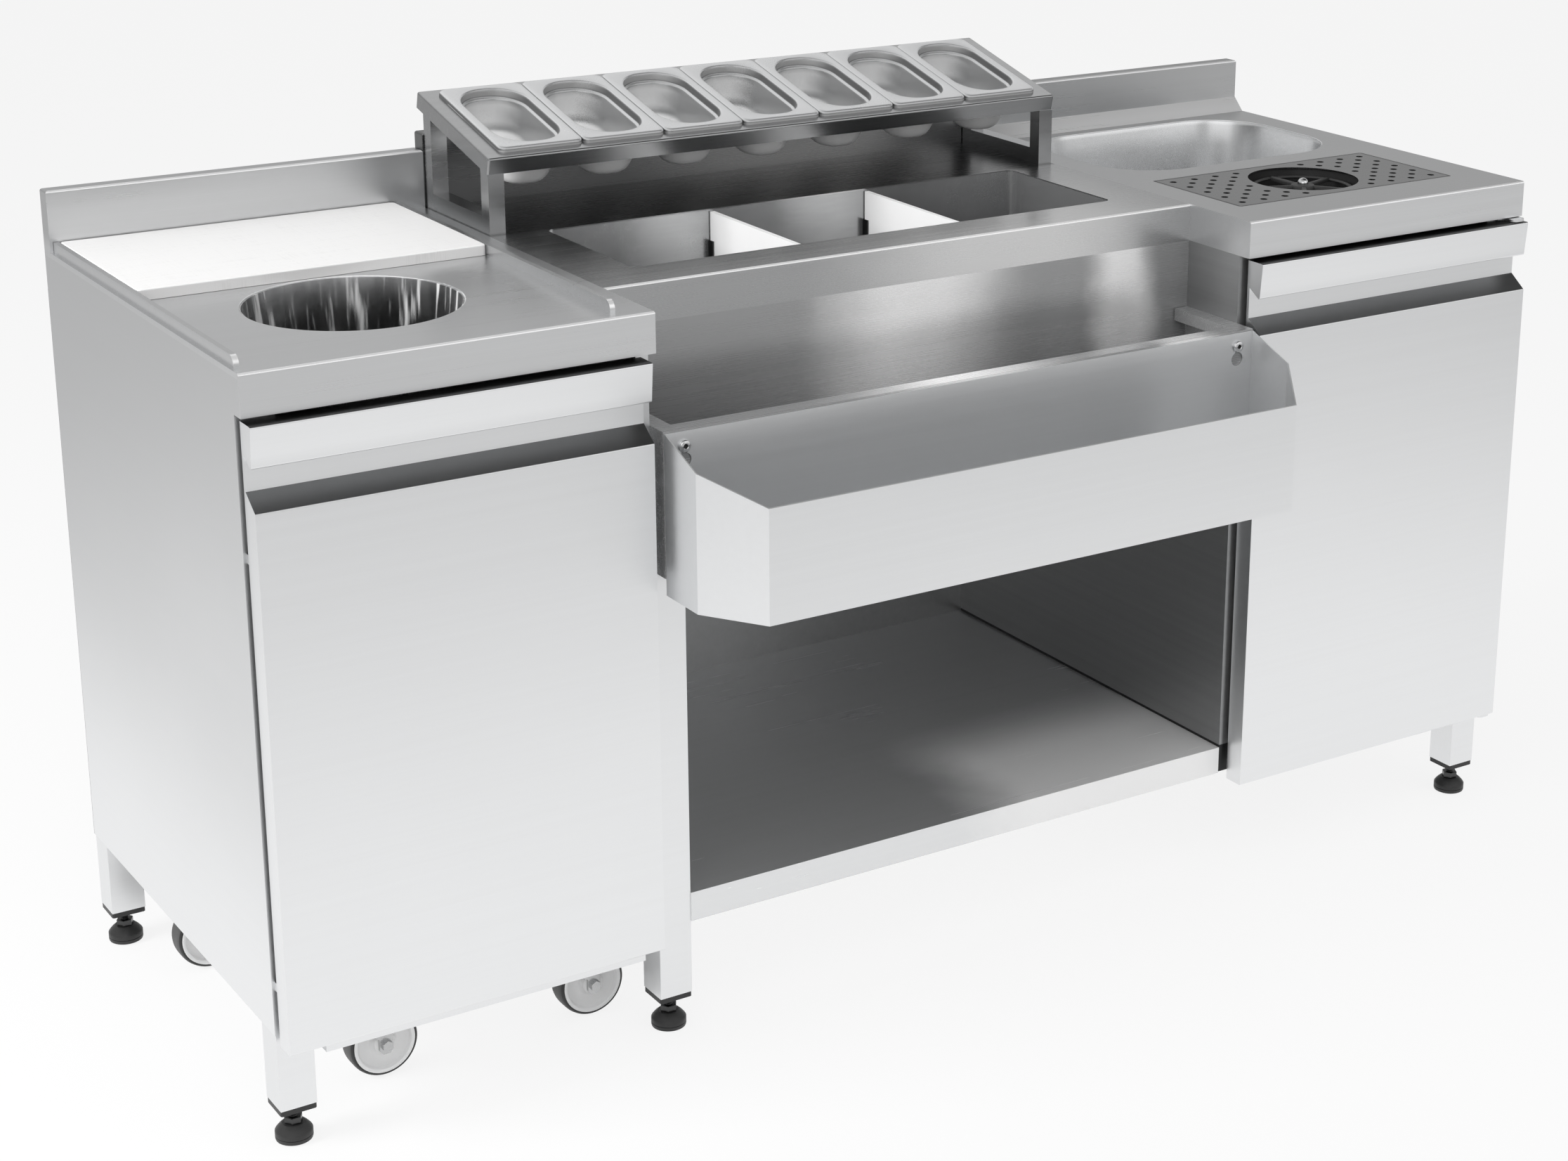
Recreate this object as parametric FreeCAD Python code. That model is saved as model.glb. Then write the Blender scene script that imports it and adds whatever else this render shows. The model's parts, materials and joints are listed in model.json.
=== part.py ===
import FreeCAD, Part
import math
import os

# Cocktail station. Lengths in millimetres. Work is set out from the left front floor corner:
# X runs to the right, Y runs to the back and Z runs up. The finished pieces are moved so that
# the origin lies under the middle of the whole footprint.

# Modules and working height
LEFT_WIDTH = 450.0
MIDDLE_WIDTH = 800.0
RIGHT_WIDTH = 450.0
BODY_DEPTH = 600.0
TOP_HEIGHT = 850.0
RAIL_REACH = 150.0

# Sheet steel and folds
SHEET = 1.5
FOLD_RADIUS = 3.0
EDGE_FOLD = 15.0
APRON = 45.0
SIDE_EDGE = 6.0
UPSTAND_DEPTH = 20.0
SIDE_UPSTAND = 70.0
MIDDLE_UPSTAND = 90.0
COVE = 18.0

# Frame, legs and feet
LEG = 40.0
TUBE = 25.0
LEG_BOTTOM = 45.0
CAP_PLATE = 6.0
CAP_PLUG = 20.0
STEM_RADIUS = 5.0
STEM_TOP = 85.0
PAD_RADIUS = 20.0
PAD_HEIGHT = 14.0
CARCASS_FRONT = 18.0
PANEL_BOTTOM = 135.0
SHELF_TOP = 168.0
SHELF_FLANGE = 35.0
PORT_RISE = 120.0
PORT_SPACING = 120.0
PORT_RADIUS = 30.0

# Folded fronts with finger channel
FRONT_FACE = -15.0
FRONT_BACK = 12.0
FRONT_BOTTOM = 126.0
FRONT_TOP_GAP = 5.0
STRIP_HEIGHT = 45.0
STRIP_LEAN = 4.0
BROW_RISE = 12.0
CHANNEL_HEIGHT = 38.0
LIP_RISE = 17.0
CHANNEL_BACK = 8.0
FRONT_ROUND = 2.0
TROLLEY_END_GAP = 12.0
FRONT_GAP = 3.0
DOOR_GAP = 9.0

# Door pivots
PIVOT_INSET = 14.0
PIVOT_PIN_RADIUS = 4.0
PIVOT_PLATE = 3.0

# Waste opening, guide rails and cutting board
WASTE_X = 200.0
WASTE_Y = 200.0
WASTE_RADIUS = 116.0
WASTE_DROP = 85.0
COLLAR_TAPER = 8.0
GUIDE_LEFT = 10.0
GUIDE_RIGHT = 409.0
GUIDE_HEIGHT = 12.0
GUIDE_WIDTH = 6.0
GUIDE_FRONT = 22.0
BOARD_FRONT = 318.0
BOARD_THICK = 12.0

# Ice bath with dividers, casing and bottle trough
BATH_SETBACK = 115.0
BATH_RIM = 70.0
BATH_FRONT = 182.0
BATH_REAR = 396.0
BATH_DEPTH = 240.0
BATH_CORNER = 10.0
DIVIDER_THICK = 6.0
GUIDE_SLOT = 7.0
GUIDE_REACH = 11.0
GUIDE_TOP_DROP = 38.0
CASING_GAP = 35.0
CASING_REAR = 440.0
TROUGH_DROP = 128.0
TROUGH_DEPTH = 162.0
TROUGH_FACE = -11.5
TROUGH_FLANGE = 20.0
TROUGH_LAP = 25.0

# Speed rail on two shoulder screws
RAIL_HANG = 20.0
RAIL_STEP = 2.0
RAIL_SLOPE = 52.0
RAIL_SIDE = 68.0
RAIL_CORNER = 46.0
RAIL_GAP = 0.5
SCREW_INSET = 24.0
SCREW_DROP = 18.0
SCREW_SHANK = 3.0
SCREW_HEAD = 7.0
KEYHOLE = 8.5
KEYHOLE_DROP = 16.0

# Stand for seven 1/9 food pans
STAND_END_GAP = 2.0
STAND_FRONT = 398.0
STAND_LIFT = 90.0
STAND_RISE = 48.0
STAND_DEPTH = 200.0
STAND_APRON = 20.0
STAND_TUBE = 20.0
STAND_LEG_FRONT = 402.0
STAND_LEG_REAR = 557.0
PAN_COUNT = 7
PAN_LENGTH = 176.0
PAN_WIDTH = 107.6
PAN_PITCH = 108.0
PAN_DEPTH = 65.0
PAN_WALL = 1.0
PAN_SHOULDER = 11.0
PAN_MOUTH_LENGTH = 150.0
PAN_MOUTH_WIDTH = 84.0
PAN_MOUTH_RADIUS = 38.0
PAN_TAPER = 9.0

# Sink
SINK_X = 1475.0
SINK_Y = 415.0
SINK_WIDTH = 370.0
SINK_DEPTH = 256.0
SINK_RADIUS = 90.0
SINK_DROP = 160.0
SINK_TAPER = 18.0
SINK_BLEND = 45.0
DRAIN_RADIUS = 24.0
DRAIN_FLANGE = 32.0
DRAIN_LENGTH = 65.0

# Glass rinser
RINSER_X = 1468.0
RINSER_Y = 159.0
RINSER_WIDTH = 350.0
RINSER_DEPTH = 174.0
RINSER_DROP = 46.0
RINSER_HOLE = 70.0
OUTLET_INSET = 45.0
OUTLET_LENGTH = 40.0
OUTLET_RADIUS = 11.0
INLET_LENGTH = 62.0
VALVE_RADIUS = 10.5
VALVE_HEIGHT = 22.0
PLATE_GAP = 0.5
PLATE_EDGE = 10.0
PERFORATION = 4.5
PERFORATION_PITCH = 17.0
PERFORATION_MARGIN = 19.0
CUP_RADIUS = 76.0
CUP_WALL = 2.5
STAR_ARM = 62.0
STAR_STEM = 5.0

# Waste trolley
TROLLEY_LEFT = 52.0
TROLLEY_RIGHT = 428.0
TROLLEY_DEPTH = 500.0
BUFFER = 10.0
PLATFORM_BOTTOM = 104.0
PLATFORM_EDGE = 24.0
BIN_X = 225.0
BIN_Y = 216.0
BIN_WIDTH = 320.0
BIN_DEPTH = 350.0
BIN_TAPER = 24.0
BIN_HEADROOM = 184.5
BIN_WALL = 3.0
BIN_RIM = 12.0
KINGPIN_LEFT = 67.0
KINGPIN_RIGHT = 55.0
KINGPIN_FRONT = 108.0
KINGPIN_REAR = 35.0
CASTOR_TRAIL = 35.0
WHEEL_RADIUS = 40.0
WHEEL_WIDTH = 30.0
HUB_RADIUS = 29.0
AXLE_RADIUS = 4.0
KINGPIN_RADIUS = 6.0
UPRIGHT_HEIGHT = 90.0
GUSSET = 60.0
BIN_STOP = 90.0
BIN_GUIDE = 22.0
BIN_GUIDE_FOOT = 18.0
STRAP = 8.0

# Clearances
RUNNING_FIT = 0.05
SLIDE_GAP = 0.4
LIFT_GAP = 0.3

WIDTH = LEFT_WIDTH + MIDDLE_WIDTH + RIGHT_WIDTH
MIDDLE_LEFT = LEFT_WIDTH
MIDDLE_RIGHT = LEFT_WIDTH + MIDDLE_WIDTH
TOP_UNDER = TOP_HEIGHT - SHEET
APRON_BOTTOM = TOP_HEIGHT - APRON
PANEL_CREST = TOP_HEIGHT - SIDE_EDGE
UPSTAND_FRONT = BODY_DEPTH - UPSTAND_DEPTH
LEG_FRONT = CARCASS_FRONT + SHEET
LEG_REAR = BODY_DEPTH - SHEET - LEG
SHELF_UNDER = SHELF_TOP - SHEET
BATH_LEFT = MIDDLE_LEFT + BATH_RIM
BATH_RIGHT = MIDDLE_RIGHT - BATH_RIM
STAND_ANGLE = math.asin(STAND_RISE / STAND_DEPTH)
STAND_FRONT_TOP = TOP_HEIGHT + STAND_LIFT
FRONT_TOP = APRON_BOTTOM - FRONT_TOP_GAP
STRIP_BOTTOM = FRONT_TOP - STRIP_HEIGHT
CHANNEL_TOP = STRIP_BOTTOM + BROW_RISE
CHANNEL_BOTTOM = CHANNEL_TOP - CHANNEL_HEIGHT
LIP_TOP = CHANNEL_BOTTOM - LIP_RISE
BATH_FLOOR = TOP_HEIGHT - BATH_DEPTH
CASING_BOTTOM = BATH_FLOOR - CASING_GAP
TROUGH_TOP = TOP_HEIGHT - TROUGH_DROP
TROUGH_FLOOR = TROUGH_TOP - TROUGH_DEPTH
RAIL_TOP = TROUGH_TOP - RAIL_STEP
RAIL_BOTTOM = TROUGH_FLOOR - RAIL_HANG
RAIL_FRONT_TOP = RAIL_TOP - RAIL_SLOPE
SCREW_HEIGHT = TROUGH_TOP - SCREW_DROP
TROLLEY_FRONT_END = LEFT_WIDTH - TROLLEY_END_GAP
BIN_TOP = TOP_HEIGHT - BIN_HEADROOM
DOOR_LEFT = MIDDLE_RIGHT + DOOR_GAP
DOOR_RIGHT = WIDTH - FRONT_GAP
PIVOT_X = WIDTH - PIVOT_INSET
PIVOT_Y = (FRONT_FACE + FRONT_BACK) / 2 - 1.0
ORIGIN = FreeCAD.Vector(-WIDTH / 2, -(BODY_DEPTH - RAIL_REACH) / 2, 0)
AXIS_X = FreeCAD.Vector(1, 0, 0)
AXIS_Y = FreeCAD.Vector(0, 1, 0)
AXIS_Z = FreeCAD.Vector(0, 0, 1)


def save(name, *shapes):
    solids = []
    for shape in shapes:
        solids.extend(shape.Solids)
    moved = []
    for solid in solids:
        piece = solid.copy()
        piece.translate(ORIGIN)
        moved.append(piece)
    whole = moved[0] if len(moved) == 1 else Part.makeCompound(moved)
    whole.exportStep("parts/" + name + ".step")


def box(x0, x1, y0, y1, z0, z1):
    return Part.makeBox(x1 - x0, y1 - y0, z1 - z0, FreeCAD.Vector(x0, y0, z0))


def rod(x, y, z, radius, length, axis=AXIS_Z):
    return Part.makeCylinder(radius, length, FreeCAD.Vector(x, y, z), axis)


def join(first, *others):
    return first.fuse(list(others)).removeSplitter()


def side_prism(points, x0, x1):
    wire = Part.makePolygon([FreeCAD.Vector(x0, y, z) for y, z in points + points[:1]])
    return Part.Face(wire).extrude(FreeCAD.Vector(x1 - x0, 0, 0))


def plan_prism(points, z0, z1):
    wire = Part.makePolygon([FreeCAD.Vector(x, y, z0) for x, y in points + points[:1]])
    return Part.Face(wire).extrude(FreeCAD.Vector(0, 0, z1 - z0))


def front_prism(points, y0, y1):
    wire = Part.makePolygon([FreeCAD.Vector(x, y0, z) for x, z in points + points[:1]])
    return Part.Face(wire).extrude(FreeCAD.Vector(0, y1 - y0, 0))


def turned(profile, x, y, axis=AXIS_Z):
    points = [FreeCAD.Vector(r, 0, z) for r, z in profile + profile[:1]]
    shape = Part.Face(Part.makePolygon(points)).revolve(FreeCAD.Vector(), AXIS_Z, 360)
    if axis is AXIS_Y:
        shape.rotate(FreeCAD.Vector(), AXIS_X, -90)
    shape.translate(FreeCAD.Vector(x, y, 0))
    return shape


def round_edges(shape, radius, wanted):
    edges = [edge for edge in shape.Edges if wanted(edge)]
    return shape.makeFillet(radius, edges)


def is_upright(edge):
    ends = edge.Vertexes
    if len(ends) != 2:
        return False
    return abs(ends[0].X - ends[1].X) < 1e-6 and abs(ends[0].Y - ends[1].Y) < 1e-6


def lies_at(edge, height):
    return edge.BoundBox.ZMin > height - 1e-3 and edge.BoundBox.ZMax < height + 1e-3


def rounded_outline(width, depth, radius, z):
    flat = Part.makePlane(width, depth, FreeCAD.Vector(-width / 2, -depth / 2, z))
    block = flat.extrude(FreeCAD.Vector(0, 0, 1))
    soft = round_edges(block, radius, is_upright)
    faces = [face for face in soft.Faces if lies_at(face, z)]
    return faces[0].OuterWire


def drawn_form(width, depth, radius, top, bottom, taper, blend):
    upper = rounded_outline(width, depth, radius, top)
    lower = rounded_outline(width - 2 * taper, depth - 2 * taper, radius - taper, bottom)
    form = Part.makeLoft([upper, lower], True, True)
    return round_edges(form, blend, lambda edge: lies_at(edge, bottom))


def plate_outline(width, depth, radius, z0, z1):
    return Part.Face(rounded_outline(width, depth, radius, z0)).extrude(FreeCAD.Vector(0, 0, z1 - z0))


def at(shape, x, y, z=0.0):
    moved = shape.copy()
    moved.translate(FreeCAD.Vector(x, y, z))
    return moved


def square_tube(x0, x1, y0, y1, z0, z1, along):
    outer = box(x0, x1, y0, y1, z0, z1)
    spare = {"x": (0, SHEET, SHEET), "y": (SHEET, 0, SHEET), "z": (SHEET, SHEET, 0)}[along]
    inner = box(x0 + spare[0], x1 - spare[0], y0 + spare[1], y1 - spare[1], z0 + spare[2], z1 - spare[2])
    return outer.cut(inner)


def folded_top(x0, x1, y0, y1, upstand, plain_side=None):
    outer = box(x0, x1, y0, y1, APRON_BOTTOM, TOP_HEIGHT)
    outer = round_edges(outer, FOLD_RADIUS, lambda edge: lies_at(edge, TOP_HEIGHT) and edge.BoundBox.YMax < y1)
    inner = box(x0 + SHEET, x1 - SHEET, y0 + SHEET, y1 + SHEET, APRON_BOTTOM - 1, TOP_UNDER)
    inner = round_edges(
        inner,
        FOLD_RADIUS - SHEET,
        lambda edge: lies_at(edge, TOP_UNDER) and edge.BoundBox.YMax < y1)
    crest = TOP_HEIGHT + upstand
    wall = box(x0, x1, y1 - SHEET, BODY_DEPTH, APRON_BOTTOM, crest)
    wall = round_edges(wall, FOLD_RADIUS, lambda edge: lies_at(edge, crest))
    hollow = box(x0 + SHEET, x1 - SHEET, y1, BODY_DEPTH - SHEET, APRON_BOTTOM - 1, crest - SHEET)
    top = join(outer.cut(inner), wall.cut(hollow))
    if plain_side is None:
        return top
    return top.cut(box(
        plain_side, plain_side + SHEET, y0 + SHEET, BODY_DEPTH - SHEET, APRON_BOTTOM - 1, PANEL_CREST))


def on_stand(shape):
    tilted = shape.copy()
    tilted.rotate(FreeCAD.Vector(), AXIS_X, math.degrees(STAND_ANGLE))
    tilted.translate(FreeCAD.Vector(MIDDLE_LEFT + STAND_END_GAP, STAND_FRONT, STAND_FRONT_TOP))
    return tilted


def front_profile(inset):
    slope = (CHANNEL_BACK - FRONT_FACE) / (CHANNEL_BOTTOM - LIP_TOP)
    rise = (CHANNEL_BACK - FRONT_FACE - STRIP_LEAN) / (CHANNEL_TOP - STRIP_BOTTOM)
    lip = inset * (math.sqrt(1 + slope * slope) - 1) / slope
    brow = inset * (math.sqrt(1 + rise * rise) - 1) / rise
    face = FRONT_FACE + inset
    back = FRONT_BACK - inset
    channel = CHANNEL_BACK + inset
    foot = FRONT_BOTTOM + inset
    crest = FRONT_TOP - inset
    return [
        (face, foot),
        (face, LIP_TOP - lip),
        (channel, CHANNEL_BOTTOM - lip - inset / slope),
        (channel, CHANNEL_TOP + brow + inset / rise),
        (face + STRIP_LEAN, STRIP_BOTTOM + brow),
        (face, crest),
        (back, crest),
        (back, foot),
    ]


def folded_front(x0, x1):
    outer = side_prism(front_profile(0.0), x0, x1)
    outer = round_edges(
        outer, FRONT_ROUND,
        lambda edge: edge.BoundBox.XLength > x1 - x0 - 1 and edge.BoundBox.YMax < FRONT_FACE + STRIP_LEAN + 1e-3)
    hollow = side_prism(front_profile(SHEET), x0 + SHEET, x1 - SHEET)
    return outer.cut(hollow)


def make_legs():
    tops = {0: TOP_UNDER, 1: TROUGH_FLOOR - SHEET, 2: TOP_UNDER}
    starts = (SHEET, MIDDLE_LEFT, WIDTH - SHEET - LEG)
    legs = []
    caps = []
    number = 1
    for column, x0 in enumerate(starts):
        for y0, top in ((LEG_FRONT, tops[column]), (LEG_REAR, APRON_BOTTOM)):
            legs.append(square_tube(x0, x0 + LEG, y0, y0 + LEG, LEG_BOTTOM, top, "z"))
            x = x0 + LEG / 2
            y = y0 + LEG / 2
            plate = box(x0, x0 + LEG, y0, y0 + LEG, LEG_BOTTOM - CAP_PLATE, LEG_BOTTOM)
            plate = round_edges(plate, FOLD_RADIUS, is_upright)
            plug = box(x0 + SHEET, x0 + LEG - SHEET, y0 + SHEET, y0 + LEG - SHEET, LEG_BOTTOM, LEG_BOTTOM + CAP_PLUG)
            bore = rod(x, y, LEG_BOTTOM - CAP_PLATE, STEM_RADIUS + RUNNING_FIT, CAP_PLATE + CAP_PLUG)
            caps.append(join(plate, plug).cut(bore))
            pad = turned(
                [(0, 0), (PAD_RADIUS - 2, 0), (PAD_RADIUS, 2), (PAD_RADIUS, 7), (PAD_RADIUS - 6, PAD_HEIGHT), (0, PAD_HEIGHT)],
                x, y)
            nut = front_prism([(8 * math.cos(a), 8 * math.sin(a)) for a in [math.radians(60 * k) for k in range(6)]], 0, 5)
            nut.rotate(FreeCAD.Vector(), AXIS_X, 90)
            save("foot_%d" % number, join(pad, at(nut, x, y, PAD_HEIGHT + 5), rod(x, y, PAD_HEIGHT, STEM_RADIUS, STEM_TOP - PAD_HEIGHT)))
            number += 1
    save("legs", *legs)
    save("leg_caps", *caps)


def make_frame():
    low = SHELF_UNDER - TUBE
    high = TOP_UNDER - TUBE
    rear_high = APRON_BOTTOM - TUBE
    inner_left = SHEET + LEG
    inner_right = WIDTH - SHEET - LEG
    rear = BODY_DEPTH - SHEET - TUBE
    front = LEG_FRONT
    part_left = LEFT_WIDTH - SHEET
    part_right = MIDDLE_RIGHT + SHEET
    leg_right = MIDDLE_LEFT + LEG
    leg_back = LEG_FRONT + LEG
    runs = [
        (SHEET, SHEET + TUBE, leg_back, LEG_REAR, low, "y"),
        (MIDDLE_LEFT, MIDDLE_LEFT + TUBE, leg_back, LEG_REAR, low, "y"),
        (WIDTH - SHEET - TUBE, WIDTH - SHEET, leg_back, LEG_REAR, low, "y"),
        (inner_left, part_left, rear, rear + TUBE, low, "x"),
        (leg_right, MIDDLE_RIGHT, rear, rear + TUBE, low, "x"),
        (part_right, inner_right, rear, rear + TUBE, low, "x"),
        (leg_right, MIDDLE_RIGHT, front, front + TUBE, low, "x"),
        (part_right, inner_right, front, front + TUBE, low, "x"),
        (inner_left, part_left, front, front + TUBE, high, "x"),
        (inner_left, part_left, rear, rear + TUBE, rear_high, "x"),
        (part_right, inner_right, front, front + TUBE, high, "x"),
        (part_right, inner_right, rear, rear + TUBE, rear_high, "x"),
    ]
    rails = []
    for x0, x1, y0, y1, z0, along in runs:
        rails.append(square_tube(x0, x1, y0, y1, z0, z0 + TUBE, along))
    save("frame_rails", *rails)


def side_sheet(x0, inward, top):
    fold = EDGE_FOLD * inward
    base = x0 if inward > 0 else x0 + SHEET
    low, high = sorted((base, base + fold))
    wall = box(x0, x0 + SHEET, CARCASS_FRONT, BODY_DEPTH - SHEET, PANEL_BOTTOM, top)
    front = box(low, high, CARCASS_FRONT, LEG_FRONT, PANEL_BOTTOM, top)
    hem = box(low, high, LEG_FRONT + LEG, LEG_REAR, PANEL_BOTTOM, PANEL_BOTTOM + SHEET)
    return wall, front, hem


def make_panels():
    for name, x0, inward in (("left_side_panel", 0.0, 1), ("right_side_panel", WIDTH - SHEET, -1)):
        wall, front, hem = side_sheet(x0, inward, APRON_BOTTOM)
        crown = box(x0, x0 + SHEET, SHEET, BODY_DEPTH - SHEET, APRON_BOTTOM, PANEL_CREST)
        save(name, join(wall, front, hem, crown))
    wall, front, hem = side_sheet(LEFT_WIDTH - SHEET, -1, APRON_BOTTOM)
    save("left_partition", join(wall, front))
    wall, front, hem = side_sheet(MIDDLE_RIGHT, 1, APRON_BOTTOM)
    save("right_partition", join(wall, front))
    back = box(0, WIDTH, BODY_DEPTH - SHEET, BODY_DEPTH, PANEL_BOTTOM, APRON_BOTTOM)
    ports = []
    for x in (SINK_X - PORT_SPACING / 2, SINK_X + PORT_SPACING / 2):
        ports.append(rod(x, BODY_DEPTH - 3, SHELF_TOP + PORT_RISE, PORT_RADIUS, 6, AXIS_Y))
    save("back_panel", back.cut(Part.makeCompound(ports)))

    legs = []
    for y0 in (LEG_FRONT, LEG_REAR):
        legs.append(box(MIDDLE_LEFT, MIDDLE_LEFT + LEG, y0, y0 + LEG, SHELF_UNDER, SHELF_TOP))
    plate = box(MIDDLE_LEFT, MIDDLE_RIGHT, CARCASS_FRONT, BODY_DEPTH - SHEET, SHELF_UNDER, SHELF_TOP)
    flange = box(MIDDLE_LEFT + LEG, MIDDLE_RIGHT, CARCASS_FRONT, LEG_FRONT, SHELF_TOP - SHELF_FLANGE, SHELF_TOP)
    corner = box(MIDDLE_LEFT, MIDDLE_LEFT + LEG, CARCASS_FRONT, LEG_FRONT, SHELF_UNDER, SHELF_TOP)
    save("bottom_shelf", join(plate, flange).cut(Part.makeCompound(legs + [corner])))

    right_legs = []
    for y0 in (LEG_FRONT, LEG_REAR):
        right_legs.append(box(WIDTH - SHEET - LEG, WIDTH - SHEET, y0, y0 + LEG, SHELF_UNDER, SHELF_TOP))
    floor = box(MIDDLE_RIGHT + SHEET, WIDTH - SHEET, LEG_FRONT, BODY_DEPTH - SHEET, SHELF_UNDER, SHELF_TOP)
    rear_lip = box(
        MIDDLE_RIGHT + SHEET, WIDTH - SHEET - LEG,
        BODY_DEPTH - 2 * SHEET, BODY_DEPTH - SHEET, SHELF_UNDER, SHELF_TOP + EDGE_FOLD)
    save("right_floor", join(floor, rear_lip).cut(Part.makeCompound(right_legs)))


def make_left_top():
    top = folded_top(0.0, LEFT_WIDTH, 0.0, UPSTAND_FRONT, SIDE_UPSTAND, 0.0)
    hole = rod(WASTE_X, WASTE_Y, TOP_UNDER - 1, WASTE_RADIUS, SHEET + 2)
    top = top.cut(hole)
    rim = [edge for edge in top.Edges if lies_at(edge, TOP_HEIGHT) and abs(edge.Length - 2 * math.pi * WASTE_RADIUS) < 1]
    save("left_worktop", top.makeFillet(1.0, rim))

    inner = WASTE_RADIUS - SHEET
    neck = inner - COLLAR_TAPER
    low = TOP_HEIGHT - WASTE_DROP
    seat = TOP_UNDER - SHEET
    collar = turned(
        [
            (neck, low + 4), (neck + 1, low + 1), (neck + 4, low), (neck + 4, low + SHEET),
            (neck + SHEET, low + 4), (WASTE_RADIUS, seat), (WASTE_RADIUS + 12, seat),
            (WASTE_RADIUS + 12, TOP_UNDER), (inner, TOP_UNDER),
        ],
        WASTE_X, WASTE_Y)
    save("waste_collar", collar)

    length = UPSTAND_FRONT - SHEET - 1.0
    crest = TOP_HEIGHT + GUIDE_HEIGHT
    rails = []
    for inner_face, outward in ((GUIDE_LEFT, -1), (GUIDE_RIGHT, 1)):
        x0, x1 = sorted((inner_face, inner_face + outward * GUIDE_WIDTH))
        rail = box(x0, x1, GUIDE_FRONT, length, TOP_HEIGHT, crest)
        rail = round_edges(
            rail, GUIDE_HEIGHT - 2, lambda edge: lies_at(edge, crest) and edge.BoundBox.YMax < GUIDE_FRONT + 1e-3)
        groove = box(x0 + SHEET, x1 - SHEET, GUIDE_FRONT + GUIDE_HEIGHT, length, TOP_HEIGHT, crest - SHEET)
        rails.append(rail.cut(groove))
    save("board_rails", *rails)

    board = box(
        GUIDE_LEFT + SLIDE_GAP, GUIDE_RIGHT - SLIDE_GAP, BOARD_FRONT, length - 2.0,
        TOP_HEIGHT + LIFT_GAP, TOP_HEIGHT + LIFT_GAP + BOARD_THICK)
    board = round_edges(board, 5.0, is_upright)
    board = round_edges(board, 1.5, lambda edge: lies_at(edge, TOP_HEIGHT + LIFT_GAP + BOARD_THICK))
    save("cutting_board", board)


def drain(x, y, floor):
    low = floor - DRAIN_LENGTH
    flange = turned(
        [(DRAIN_RADIUS - 5, floor), (DRAIN_FLANGE, floor), (DRAIN_FLANGE, floor + 1.0), (DRAIN_RADIUS - 5, floor + 1.0)], x, y)
    tail = turned(
        [(DRAIN_RADIUS - 5, low), (DRAIN_RADIUS - 2, low), (DRAIN_RADIUS, low + 2), (DRAIN_RADIUS, floor), (DRAIN_RADIUS - 5, floor)],
        x, y)
    nut = turned(
        [(DRAIN_RADIUS, floor - 16), (DRAIN_RADIUS + 8, floor - 16), (DRAIN_RADIUS + 8, floor - 5), (DRAIN_RADIUS, floor - 5)], x, y)
    grate = rod(x, y, floor - 6, DRAIN_RADIUS - 5, 2.0)
    holes = [rod(x, y, floor - 7, 2.5, 4.0)]
    for ring, count in ((7.0, 6), (14.0, 10)):
        for step in range(count):
            turn = 2 * math.pi * step / count
            holes.append(rod(x + ring * math.cos(turn), y + ring * math.sin(turn), floor - 7, 2.2, 4.0))
    grate = grate.cut(Part.makeCompound(holes))
    return join(flange, tail, nut, grate)


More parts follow.
